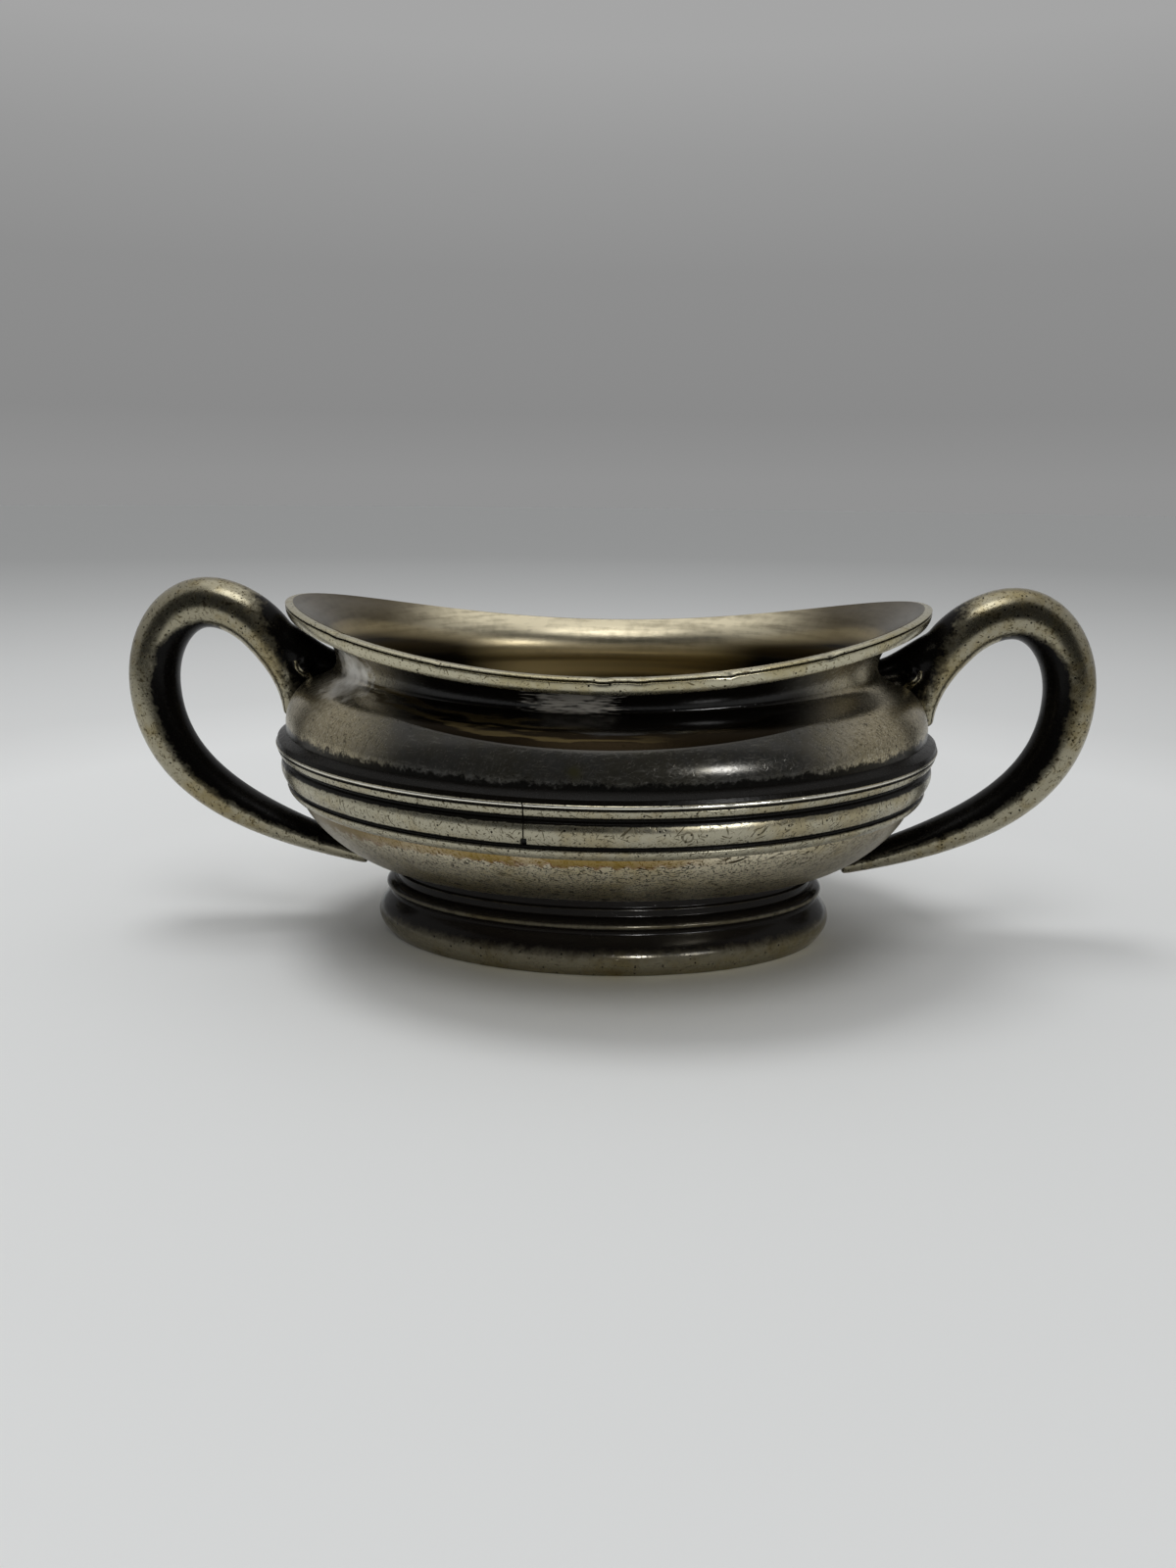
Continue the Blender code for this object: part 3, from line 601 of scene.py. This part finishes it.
stains = add(tree, "MapRange", {"Value": stains, "From Min": 0.66, "From Max": 0.96, "To Max": 0.45})
flare = add(tree, "Math", {0: inside, 1: deep}, operation="SUBTRACT")
mask = add(tree, "Math", {0: stains, 1: flare}, operation="MULTIPLY")
lay_film(plate, mask, "#3d3422", 0.35)
# Painted reflection: faint bands as of the opposite wall
rings = add(tree, "MapRange", {"Value": rings, "From Min": 0.36, "From Max": 0.66, "To Max": 0.85})
mask = add(tree, "Math", {0: rings, 1: deep}, operation="MULTIPLY")
lay_film(plate, mask, "#3a2f18", 0.35, 0.3)


# Belly moulding: a drawn strip of two reeds and a band, bent round the seam of the two shells.
# Plated nickel silver, rubbed bright on its faces and black in its grooves; butt-jointed in front.
LEDGE_FALL = 0.85 * MM
LEDGE_FROM = 0.2 * MM
UPPER_REED_HEIGHT = 3.5 * MM
UPPER_REED_OUT = 2.0 * MM
GROOVE_HEIGHT = 0.8 * MM
GROOVE_OUT = 1.1 * MM
BAND_HEIGHT = 3.4 * MM
BAND_OUT = 1.95 * MM
BAND_EDGE_OUT = 1.5 * MM
BAND_STEPS = 12
LOWER_REED_EDGE_OUT = 1.3 * MM
LOWER_REED_LEAN = 0.3 * MM
LOWER_REED_STEPS = 8
STRIP_LAP = 0.2 * MM
STRIP_ROUND = 0.2 * MM
JOINT_AT = -9.7 * MM
JOINT_HALF = 0.11 * MM
JOINT_DEPTH = 0.25 * MM
JOINT_CUTS = (-4, -3, -1, 0, 1, 3, 4)
JOINT_REACH = 3 * MM
PIT_HALF = 3.5 * JOINT_HALF
PIT_FROM = 0.1 * MM
PIT_TO = 1.0 * MM
upper_foot = strip_top - UPPER_REED_HEIGHT
band_top = upper_foot - GROOVE_HEIGHT
band_foot = band_top - BAND_HEIGHT
lower_top = band_foot - GROOVE_HEIGHT
nose = strip_top - 2 * LEDGE_FALL
groove_side = GROOVE_HEIGHT / 3

# The upper reed, by share of its height, mm in from its nose, and darkness; below 0 a painted white highlight
UPPER_REED = ((0.0, 0.45, 0.9), (0.12, 0.3, 0.1), (0.58, 0.1, 0.1), (0.62, 0.32, 1.0), (0.74, 0.32, 1.0),
              (0.79, 0.1, 0.1), (0.9, 0.0, -0.6), (1.0, 0.05, -0.6), (1.1, 0.25, 1.0))
section = [(-GAP, strip_bottom, 0.8)]
for out, height in bulge((LOWER_REED_EDGE_OUT - LOWER_REED_LEAN, strip_bottom),
                         (LOWER_REED_EDGE_OUT + LOWER_REED_LEAN, lower_top),
                         LOWER_REED_EDGE_OUT + LOWER_REED_LEAN / 2, LOWER_REED_STEPS):
    section.append((out, height, 0.1))
section += [(GROOVE_OUT, lower_top + groove_side, 1.0), (GROOVE_OUT, band_foot - groove_side, 1.0)]
for out, height in bulge((BAND_EDGE_OUT, band_foot), (BAND_EDGE_OUT, band_top), BAND_OUT, BAND_STEPS):
    stain_above = 1 - 4 * (band_top - height) / BAND_HEIGHT
    stain_below = 0.8 - 8 * (height - band_foot) / BAND_HEIGHT
    section.append((out, height, max(0.1, stain_above, stain_below)))
section += [(GROOVE_OUT, band_top + groove_side, 1.0), (GROOVE_OUT, upper_foot - groove_side, 1.0)]
for share, inward, darkness in UPPER_REED:
    section.append((UPPER_REED_OUT - inward * MM, upper_foot + share * (nose - upper_foot), darkness))
section.append((UPPER_REED_OUT - 0.6 * LEDGE_FALL, strip_top - LEDGE_FALL, 1.0))
section.append((-GAP, strip_top + STRIP_LAP, 1.0))
rows = []
for out, height, darkness in section:
    rows.append(shift(wall_row(height, darkness), out, out, 0.0, 0.0, 0.0))
belly_moulding = oval_wall("belly_moulding_strip", rows)
close_section()
round_edges(STRIP_ROUND)

# The butt joint: cuts close together across the front, the middle one pressed in and black, with a
# square pit where it meets the lower groove
for step in JOINT_CUTS:
    bpy.ops.mesh.select_all(action="DESELECT")
    mesh = bmesh.from_edit_mesh(belly_moulding.data)
    for face in mesh.faces:
        centre = face.calc_center_median()
        face.select = centre.y < 0 and abs(centre.x - JOINT_AT) < JOINT_REACH
    mesh.select_flush_mode()
    bpy.ops.mesh.bisect(plane_co=(JOINT_AT + step * JOINT_HALF, 0.0, 0.0), plane_no=(1.0, 0.0, 0.0))

# Towards the ends the strip is darker and its ledge lighter
mesh = bmesh.from_edit_mesh(belly_moulding.data)
patina_and_painted_light = mesh.verts.layers.float["patina_and_painted_light"]
for vert in mesh.verts:
    share = (vert.co.x / belly_half_length) ** 2
    vert[patina_and_painted_light] += 0.35 * share
    if vert.co.z - BELLY_LIFT * share > nose + LEDGE_FROM:
        vert[patina_and_painted_light] -= 0.4 * share
    half = PIT_HALF if band_foot + PIT_FROM < vert.co.z < band_foot + PIT_TO else JOINT_HALF / 2
    if vert.co.y < 0 and abs(vert.co.x - JOINT_AT) < half and band_foot < vert.co.z < nose:
        vert.co.y += JOINT_DEPTH
        vert[patina_and_painted_light] = 0.9
settle(belly_moulding, "belly_moulding")

# Rubbed plate gives a soft yellow-grey shine between black grooves
plate = worn_plate("rubbed silver plate", "#aca793", "#a2987b", "#0e0c09", "#5b5543",
                   yellowing=0.4, specks=0.4, scratches=0.7, roughness=0.27, ragged_by=0.5)
belly_moulding.data.materials.append(plate)

# A faint ring, left by a knock, on the band right of the middle
RING_AT = 12.2 * MM
RING_RADIUS = 0.7 * MM
RING_HALF = 0.14 * MM
RING_LEVEL = 0.45
row = wall_row(band_foot + RING_LEVEL * BAND_HEIGHT, 0.0)
ring_run = RING_AT / (row[0] + BAND_OUT)
spot = (RING_AT, -(row[1] + BAND_OUT) * math.sqrt(1 - ring_run ** 2), row[2] + row[3] * ring_run ** 2)
tree = plate.node_tree
place = tree.nodes["place"].outputs["Object"]
away = add(tree, "VectorMath", {0: place, 1: spot}, "Value", operation="DISTANCE")
mask = add(tree, "Math", {0: away, 1: RING_RADIUS, 2: RING_HALF}, operation="COMPARE")
mask = add(tree, "Math", {0: mask, 1: 0.6}, operation="MULTIPLY")
lay_film(plate, mask, "#4d4735", 0.4)

# The nose of the upper reed, whose darkness is below 0, is painted white as a highlight
patina_and_painted_light = add(tree, "Attribute", {}, "Fac", attribute_name="patina_and_painted_light")
rubbed = add(tree, "MapRange", {"Value": patina_and_painted_light, "From Min": 0.0, "From Max": -0.5, "To Max": 0.9})
lay_film(plate, rubbed, "#f4f1e6", 0.2)


# Rim moulding: a narrow drawn strip of two beads, soldered round the outside of the lip.
# Plated nickel silver, rubbed pale, with a dark line between its beads and nicks along its top edge.
RIM_TUCK = 0.6 * MM
RIM_LINE_AT = 0.6 * MM
RIM_LINE_HALF = 0.12 * MM
RIM_LINE_DEPTH = 0.45 * MM
RIM_LAP = 0.3 * MM
RIM_ROUND = 0.12 * MM
RIM_EDGE_FALL = 0.04 * MM
LOWER_BEAD_FOOT_IN = 0.7 * MM
LOWER_BEAD_IN = 0.25 * MM
LOWER_BEAD_STEPS = 10
UPPER_BEAD_IN = 0.3 * MM
UPPER_BEAD_STEPS = 6
BEAD_EDGE_IN = 0.1 * MM
NICK_PUSH = Vector((0.0, 0.5, -0.7))
# Each nick, in mm: place along the front, radius and depth
NICKS = ((0.5, 1.6, 0.3), (5.5, 1.4, 0.2), (17.4, 1.2, 0.4), (31.6, 1.2, 0.4), (-22.0, 1.3, 0.15),
         (-38.0, 1.6, 0.2))
rim_top = WALL + GAP
rim_line = rim_top - RIM_LINE_AT
bead_side = RIM_OUT - UPPER_BEAD_IN
section = [(-RIM_TUCK, -RIM_DROP, 1.0)]
for out, up in bulge((RIM_OUT - LOWER_BEAD_FOOT_IN, -RIM_DROP),
                     (RIM_OUT - BEAD_EDGE_IN, rim_line - RIM_LINE_HALF),
                     RIM_OUT - LOWER_BEAD_IN, LOWER_BEAD_STEPS):
    section.append((out, up, 0.15))
line_row = len(section)
section += [(RIM_OUT - RIM_LINE_DEPTH, rim_line, 1.0)]
for out, up in bulge((bead_side, rim_line + RIM_LINE_HALF), (bead_side - UPPER_BEAD_IN, rim_top),
                     RIM_OUT - BEAD_EDGE_IN, UPPER_BEAD_STEPS):
    section.append((out, up, 0.1))
top_row = len(section)
section += [(GAP, rim_top, 0.0), (0.0, rim_top - RIM_EDGE_FALL, 0.0)]
section += [(-RIM_LAP, rim_top - RIM_LAP, 0.0), (-RIM_LAP, -GAP, 0.0)]
rim_rows = []
for out, up, darkness in section:
    rim_rows.append((lip_half_length + out, lip_half_width + out, lip_height + up, lip_lift, darkness))
rim_moulding = oval_wall("rim_moulding_strip", rim_rows)
close_section()
round_edges(RIM_ROUND)
mesh = bmesh.from_edit_mesh(rim_moulding.data)
patina_and_painted_light = mesh.verts.layers.float["patina_and_painted_light"]
for vert in mesh.verts:
    vert[patina_and_painted_light] += 0.3 * (vert.co.x / rim_high.x) ** 2
for x, size, depth in NICKS:
    run = x * MM / rim_high.x
    spot = Vector((x * MM, -rim_high.y * math.sqrt(1 - run ** 2), lip_height + rim_top + lip_lift * run ** 2))
    for vert in mesh.verts:
        near = max(0.0, 1 - ((vert.co - spot).length / (size * MM)) ** 2)
        vert.co += NICK_PUSH * near * depth * MM
        vert[patina_and_painted_light] += 1.4 * near * depth
settle(rim_moulding, "rim_moulding")

# Pale rubbed plate gives a lighter shine than the belly moulding, with brown specks
plate = worn_plate("pale rubbed silver plate", "#bcb69e", "#b0a684", "#171207", "#6b6248",
                   yellowing=0.4, specks=0.4, scratches=0.4, roughness=0.26, ragged_by=0.4)
rim_moulding.data.materials.append(plate)


# Handles: cast loops whose upper end forks into a spur down the shoulder and a stem to the neck.
# Cast nickel silver, plated, with a small pellet in each web of the fork; soldered to the bowl's ends.
# The outside of each loop is rubbed; its inner side and the fork are black, partly patina and partly painted
# shade and a painted reflection of the dark bowl.
BAR_SIDES = 48
HANDLE_SEAT_OUT = 5.3 * MM
HANDLE_SEAT_DROP = 0.2 * MM
HANDLE_WAIST_RISE = 6.4 * MM
HANDLE_CROWN_OUT = 14.7 * MM
HANDLE_TAIL_PULL = 17.0 * MM
HANDLE_TAIL_SLOPE = 0.28
HANDLE_WAIST_PULL = 0.61
HANDLE_CROWN_PULL = 0.55
HANDLE_THICK = 8.1 * MM
HANDLE_WIDE = 7.8 * MM
HANDLE_TAIL_THICK = 3.2 * MM
HANDLE_TAIL_WIDE = 5.6 * MM
LOWER_LOOP_STEPS = 40
UPPER_LOOP_STEPS = 24
SPUR_TIP_RISE = 0.7 * MM
SPUR_TIP_THICK = 1.6 * MM
SPUR_TIP_WIDE = 2.2 * MM
SPUR_SHARE = 0.57
SPUR_CROWN_PULL = 0.56
SPUR_TIP_PULL_IN = 0.26
SPUR_TIP_PULL_UP = 0.55
SPUR_STEPS = 40
STEM_ROOT_THICK = 6.8 * MM
STEM_ROOT_WIDE = 6.6 * MM
STEM_THICK = 4.2 * MM
STEM_WIDE = 5.4 * MM
STEM_RISE = 0.8 * MM
STEM_PULL = 0.35
STEM_STEPS = 16
WEB_PULL = 2.0 * MM
WEB_STEPS = 12
PELLET_RADIUS = 1.3 * MM
PELLET_DROP = 1.4 * MM
CAST_GRAIN = 0.34 * MM
SOLDER_LAP = 0.25 * MM


def bar(name, points):
    """A filled circle extruded along (x, z, thickness, width) points, square to the path at each."""
    bpy.ops.object.select_all(action="DESELECT")
    bpy.ops.mesh.primitive_circle_add(vertices=BAR_SIDES, radius=1.0, fill_type="NGON")
    piece = bpy.context.object
    piece.name = name
    bpy.ops.object.mode_set(mode="EDIT")
    bpy.ops.mesh.select_all(action="SELECT")
    middle = Vector((0.0, 0.0, 0.0))
    across = Vector((1.0, 0.0, 0.0))
    along = Vector((0.0, 1.0, 0.0))
    for i, (x, z, thick, wide) in enumerate(points):
        if i:
            bpy.ops.mesh.extrude_region()
        before, after = points[max(i - 1, 0)], points[min(i + 1, len(points) - 1)]
        heading = Vector((after[0] - before[0], 0.0, after[1] - before[1])).normalized()
        new_middle = Vector((x, 0.0, z))
        new_across = Vector((-heading.z, 0.0, heading.x)) * thick / 2
        new_along = Vector((0.0, wide / 2, 0.0))
        for vert in bmesh.from_edit_mesh(piece.data).verts:
            if vert.select:
                side = (vert.co - middle).dot(across) / across.length_squared
                depth = (vert.co - middle).dot(along) / along.length_squared
                vert.co = new_middle + new_across * side + new_along * depth
        middle, across, along = new_middle, new_across, new_along
    bpy.ops.object.mode_set(mode="OBJECT")
    return piece


# The bar's path: up from the tail round the waist to the crown, then down the spur to its tip
handle_low, handle_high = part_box("handle_right")
tail = (foot_half_length + HANDLE_SEAT_OUT, lower_low.z - HANDLE_SEAT_DROP,
        HANDLE_TAIL_THICK, HANDLE_TAIL_WIDE)
waist = (handle_high.x - HANDLE_THICK / 2, strip_top + HANDLE_WAIST_RISE, HANDLE_THICK, HANDLE_WIDE)
crown = (lip_half_length + HANDLE_CROWN_OUT, handle_high.z - HANDLE_THICK / 2, HANDLE_THICK, HANDLE_WIDE)
tip = (belly_half_length + SPUR_TIP_THICK / 2, strip_top + BELLY_LIFT + SPUR_TIP_RISE,
       SPUR_TIP_THICK, SPUR_TIP_WIDE)
drop = (waist[1] - tail[1]) * HANDLE_WAIST_PULL
climb = (crown[1] - waist[1]) * HANDLE_CROWN_PULL
reach = (waist[0] - crown[0]) * HANDLE_CROWN_PULL
swell = 2 * (HANDLE_THICK - HANDLE_TAIL_THICK) / 3
fill = 2 * (HANDLE_WIDE - HANDLE_TAIL_WIDE) / 3
loop = curve(tail, shift(tail, HANDLE_TAIL_PULL, HANDLE_TAIL_PULL * HANDLE_TAIL_SLOPE, swell, fill),
             shift(waist, 0.0, -drop, 0.0, 0.0), waist, LOWER_LOOP_STEPS)
loop += curve(waist, shift(waist, 0.0, climb, 0.0, 0.0), shift(crown, reach, 0.0, 0.0, 0.0), crown,
              UPPER_LOOP_STEPS)[1:]
spur_in = crown[0] - tip[0]
spur_fall = crown[1] - tip[1]
spur = curve(crown, shift(crown, -spur_in * SPUR_CROWN_PULL, 0.0, 0.0, 0.0),
             shift(tip, -spur_in * SPUR_TIP_PULL_IN, spur_fall * SPUR_TIP_PULL_UP, 0.0, 0.0), tip, SPUR_STEPS)
for i, (x, z, thick, wide) in enumerate(spur[1:], 1):
    closing = max(0.0, 1 - (1 - i / SPUR_STEPS) / SPUR_SHARE) ** 2
    loop.append((x, z, HANDLE_THICK + (SPUR_TIP_THICK - HANDLE_THICK) * closing,
                 HANDLE_WIDE + (SPUR_TIP_WIDE - HANDLE_WIDE) * closing))

# The stem leaves the spur at its middle, and a web fills the fork between them
fork = (spur[SPUR_STEPS // 2][0], spur[SPUR_STEPS // 2][1], STEM_ROOT_THICK, STEM_ROOT_WIDE)
root = (neck[0] - WALL, neck_height + STEM_RISE, STEM_THICK, STEM_WIDE)
stem = curve(fork, shift(fork, (root[0] - fork[0]) * STEM_PULL, (root[1] - fork[1]) * STEM_PULL, 0.0, 0.0),
             shift(root, (fork[0] - root[0]) * STEM_PULL, 0.0, 0.0, 0.0), root, STEM_STEPS)
web = curve(fork, shift(fork, -WEB_PULL, -WEB_PULL, 0.0, 0.0),
            (shoulder[0], shoulder[2] + WEB_PULL, STEM_THICK, STEM_THICK),
            (neck[0], shoulder[2], STEM_THICK, STEM_THICK), WEB_STEPS)
casting = bar("handle_right_casting", loop)
lumps = [casting, bar("handle_stem", stem), bar("handle_web", web)]
stem_middle = stem[STEM_STEPS // 2]
for side in (-1, 1):
    spot = (stem_middle[0], side * stem_middle[3] / 2, stem_middle[1] - PELLET_DROP)
    bpy.ops.mesh.primitive_ico_sphere_add(subdivisions=4, radius=PELLET_RADIUS, location=spot)
    lumps.append(bpy.context.object)
for lump in lumps:
    lump.select_set(True)
bpy.context.view_layer.objects.active = casting
bpy.ops.object.join()
casting = bpy.context.object
grain = casting.modifiers.new("casting", "REMESH")
grain.mode = "VOXEL"
grain.voxel_size = CAST_GRAIN
bpy.ops.object.modifier_apply(modifier=grain.name)
flow = casting.modifiers.new("flow", "SMOOTH")
flow.factor = 0.5
flow.iterations = 10
bpy.ops.object.modifier_apply(modifier=flow.name)

# The casting is trimmed to the outside of the bowl, less the solder's lap
outside = lower_rows + upper_rows[2:-1] + rim_rows[1:line_row] + rim_rows[line_row + 1:top_row]
plug = oval_wall("bowl_plug", [shift(row, -SOLDER_LAP, -SOLDER_LAP, 0.0, 0.0, 0.0) for row in outside])
bpy.ops.mesh.edge_face_add()
bpy.ops.mesh.select_all(action="DESELECT")
bpy.ops.mesh.select_non_manifold()
bpy.ops.mesh.edge_face_add()
bpy.ops.mesh.select_all(action="SELECT")
bpy.ops.mesh.normals_make_consistent(inside=False)
bpy.ops.object.mode_set(mode="OBJECT")
bpy.ops.object.select_all(action="DESELECT")
casting.select_set(True)
bpy.context.view_layer.objects.active = casting
trim = casting.modifiers.new("trim", "BOOLEAN")
trim.operation = "DIFFERENCE"
trim.solver = "EXACT"
trim.object = plug
bpy.ops.object.modifier_apply(modifier=trim.name)
bpy.data.objects.remove(plug)
bpy.ops.object.duplicate()
turned = bpy.context.object
turned.name = "handle_left_casting"
bpy.ops.object.mode_set(mode="EDIT")
bpy.ops.mesh.select_all(action="SELECT")
bpy.ops.transform.rotate(value=math.pi, orient_axis="Z", center_override=(0.0, 0.0, 0.0))
bpy.ops.object.mode_set(mode="OBJECT")

# Cast plate gives a softer shine with many specks
cast_plate = worn_plate("cast silver plate", "#9e9883", "#8f8464", "#0c0a08", "#5e563f",
                        yellowing=0.5, specks=1.0, scratches=0.3, roughness=0.25, ragged_by=0.4)

# Darkness grows with how far a spot faces the middle of the loop, less so at the crown; it is partly patina
# and partly painted shade and a painted reflection of the dark bowl. In the fork it grows inwards from a
# slanting edge. Places are in mm
LOOP_MIDDLE = Vector((57.0 * MM, 0.0, 36.0 * MM))
CROWN_FROM = 46
CROWN_FADE = 7
FORK_REACH = 62
FORK_EDGE_AT = 52
FORK_EDGE_HEIGHT = 42
FORK_EDGE_SLANT = 0.373
FORK_FADE = 12
for piece, side, label in ((casting, 1, "handle_right"), (turned, -1, "handle_left")):
    patina_and_painted_light = piece.data.attributes["patina_and_painted_light"]
    for vert in piece.data.vertices:
        spot = Vector((vert.co.x * side, vert.co.y * side, vert.co.z))
        facing = Vector((vert.normal.x * side, 0.0, vert.normal.z)).dot((LOOP_MIDDLE - spot).normalized())
        crown_share = min(1.0, max(0.0, (spot.z / MM - CROWN_FROM) / CROWN_FADE))
        darkness = 0.58 + (facing - 0.12 - 0.68 * crown_share) * 0.8
        if spot.z > strip_top and spot.x < FORK_REACH * MM:
            edge = FORK_EDGE_AT + FORK_EDGE_SLANT * (spot.z / MM - FORK_EDGE_HEIGHT)
            fork_share = 0.58 + (edge - spot.x / MM) / FORK_FADE
            darkness = max(0.5 + (facing - 0.9) * 5, min(fork_share, 0.5 + (0.35 - facing) * 2.5))
        patina_and_painted_light.data[vert.index].value = min(1.0, max(0.0, darkness))
    bpy.ops.object.select_all(action="DESELECT")
    piece.select_set(True)
    bpy.context.view_layer.objects.active = piece
    bpy.ops.object.mode_set(mode="EDIT")
    settle(piece, label)
    piece.data.materials.append(cast_plate)


# Floor: a plain pale table top that runs back into the grey sweep, no part of the bowl.
# Matt paper, without gloss, painted darker with distance where the light falls off. In the metal it ends a
# hand's breadth in front of the bowl, where the room is dark.
FLOOR_RADIUS = 3.0
# Painted light falloff on the paper: its grey level by distance from the middle, in metres
FLOOR_PAINTED_FALLOFF = ((0.0, 0.82), (0.11, 0.82), (0.165, 0.86), (0.23, 0.78), (0.36, 0.75), (0.62, 0.66),
                (0.92, 0.585), (1.0, 0.57))
FLOOR_RED = 0.985
FLOOR_DARK_FROM = -135 * MM
FLOOR_DARK_AT = -210 * MM
FLOOR_DARK = (0.02, 0.02, 0.02, 1.0)
bpy.ops.object.select_all(action="DESELECT")
bpy.ops.mesh.primitive_circle_add(vertices=128, radius=FLOOR_RADIUS, fill_type="NGON")
floor = bpy.context.object
floor.name = "floor"
paper = bpy.data.materials.new("matt paper")
paper.use_nodes = True
tree = paper.node_tree
place = add(tree, "TexCoord", {}, "Object")
reach = add(tree, "VectorMath", {0: place}, "Value", operation="LENGTH")
shades = add(tree, "ValToRGB", {"Fac": reach})
stops = shades.node.color_ramp.elements
for at, shade in FLOOR_PAINTED_FALLOFF[1:-1]:
    stops.new(at)
for stop, (at, shade) in zip(stops, FLOOR_PAINTED_FALLOFF):
    stop.position = at
    stop.color = (shade * FLOOR_RED, shade, shade, 1.0)
depth = add(tree, "SeparateXYZ", {0: place}, "Y")
near = add(tree, "MapRange", {"Value": depth, "From Min": FLOOR_DARK_AT, "From Max": FLOOR_DARK_FROM},
           interpolation_type="SMOOTHSTEP")
seen = add(tree, "LightPath", {}, "Is Camera Ray")
lit = add(tree, "Math", {0: near, 1: seen}, operation="MAXIMUM")
tone = add(tree, "Mix", {0: lit, 6: FLOOR_DARK, 7: shades}, 2, data_type="RGBA")
shader = tree.nodes["Principled BSDF"]
tree.links.new(tone, shader.inputs["Base Color"])
shader.inputs["Roughness"].default_value = 0.9
shader.inputs["Specular IOR Level"].default_value = 0.1
floor.data.materials.append(paper)


# Light: a pale light box, open and dark towards the viewer; the camera sees a grey sweep instead.
# A lamp behind left lights the table and doesn't show in the metal, a large one hangs over the front,
# one low at the right lights the bowl without its handles, and a small low one lights the foot.
WALL_SHADES = ((0.0, 0.34), (0.35, 0.42), (0.6, 0.48), (0.86, 0.52), (0.95, 1.0), (1.0, 1.0))
SWEEP_SHADES = ((0.0, 0.282), (0.05, 0.252), (0.155, 0.268), (0.233, 0.315), (0.30, 0.375), (1.0, 0.45))
ROOM = (0.035, 0.035, 0.035, 1.0)
ROOM_FROM = -0.3
ROOM_FULL = -0.55
BACK_RISE = 0.2
LAMPS_AWAY = 0.6
bowl = (foot_ring, lower_shell, upper_shell, belly_moulding, rim_moulding)
# Each lamp: degrees round from the front, degrees up, size in mm, watts, and the pieces it is kept to
LAMPS = (("lamp over", -125, 76, 200, 0.8, ()), ("lamp top", -2, 66, 280, 0.5, ()),
         ("lamp right", 33, 13, 110, 0.9, bowl), ("lamp low", 12, 12, 50, 2.2, (foot_ring,)))
world = bpy.data.worlds.new("light box")
bpy.context.scene.world = world
world.use_nodes = True
tree = world.node_tree
towards = add(tree, "TexCoord", {}, "Generated")
parts = add(tree, "SeparateXYZ", {0: towards}).node.outputs
front = add(tree, "MapRange", {"Value": parts["Y"], "From Min": ROOM_FROM, "From Max": ROOM_FULL},
            interpolation_type="SMOOTHSTEP")
behind = add(tree, "Math", {0: parts["Y"], 1: BACK_RISE, 2: parts["Z"]}, operation="MULTIPLY_ADD")
ramps = []
for shades, height in ((WALL_SHADES, behind), (SWEEP_SHADES, parts["Z"])):
    ramps.append(add(tree, "ValToRGB", {"Fac": height}))
    stops = ramps[-1].node.color_ramp.elements
    for at, shade in shades[1:-1]:
        stops.new(at)
    for stop, (at, shade) in zip(stops, shades):
        stop.position = at
        stop.color = (shade, shade, shade, 1.0)
level = add(tree, "Mix", {0: front, 6: ramps[0], 7: ROOM}, 2, data_type="RGBA")
seen = add(tree, "LightPath", {}, "Is Camera Ray")
level = add(tree, "Mix", {0: seen, 6: level, 7: ramps[1]}, 2, data_type="RGBA")
tree.links.new(level, tree.nodes["Background"].inputs["Color"])
for name, round_by, up_by, size, watts, lit in LAMPS:
    lamp = bpy.data.objects.new(name, bpy.data.lights.new(name, "AREA"))
    bpy.context.scene.collection.objects.link(lamp)
    lamp.data.shape = "DISK"
    lamp.data.size = size * MM
    lamp.data.energy = watts
    lamp.visible_glossy = name != "lamp over"
    if lit:
        lamp.light_linking.receiver_collection = bpy.data.collections.new(name + " on")
        for piece in lit:
            lamp.light_linking.receiver_collection.objects.link(piece)
    flat = math.cos(math.radians(up_by))
    heading = Vector((math.sin(math.radians(round_by)) * flat, -math.cos(math.radians(round_by)) * flat,
                      math.sin(math.radians(up_by))))
    lamp.location = heading * LAMPS_AWAY
    lamp.rotation_euler = heading.to_track_quat("Z", "Y").to_euler()


# Camera: fitted to the bowl's outlines in the photo, close in front and a little above the rim.
# It looks down by its pitch, and is turned by a small angle round the bowl's upright axis.
CAMERA_ACROSS = -0.379 * MM
CAMERA_BACK = 189.17 * MM
CAMERA_HEIGHT = 73.5 * MM
CAMERA_PITCH = math.radians(14.538)
CAMERA_PAN = math.radians(-0.691)
CAMERA_ROLL = math.radians(0.587)
CAMERA_ROUND = math.radians(1.518)
CAMERA_LENS = 36.03
CAMERA_SENSOR = 36.0
CAMERA_NEAR = 10 * MM
camera = bpy.data.objects.new("camera", bpy.data.cameras.new("camera"))
bpy.context.scene.collection.objects.link(camera)
camera.data.sensor_fit = "HORIZONTAL"
camera.data.sensor_width = CAMERA_SENSOR
camera.data.lens = CAMERA_LENS
camera.data.clip_start = CAMERA_NEAR
forward = Vector((math.sin(CAMERA_PAN) * math.cos(CAMERA_PITCH),
                  math.cos(CAMERA_PAN) * math.cos(CAMERA_PITCH), -math.sin(CAMERA_PITCH)))
right = Vector((math.cos(CAMERA_PAN), -math.sin(CAMERA_PAN), 0.0))
up = right.cross(forward)
axes = Matrix((right * math.cos(CAMERA_ROLL) + up * math.sin(CAMERA_ROLL),
               up * math.cos(CAMERA_ROLL) - right * math.sin(CAMERA_ROLL), -forward)).transposed().to_4x4()
axes.translation = Vector((CAMERA_ACROSS, -CAMERA_BACK, CAMERA_HEIGHT))
camera.matrix_world = Matrix.Rotation(CAMERA_ROUND, 4, "Z") @ axes
bpy.context.scene.camera = camera
bpy.context.scene.view_settings.view_transform = "Standard"
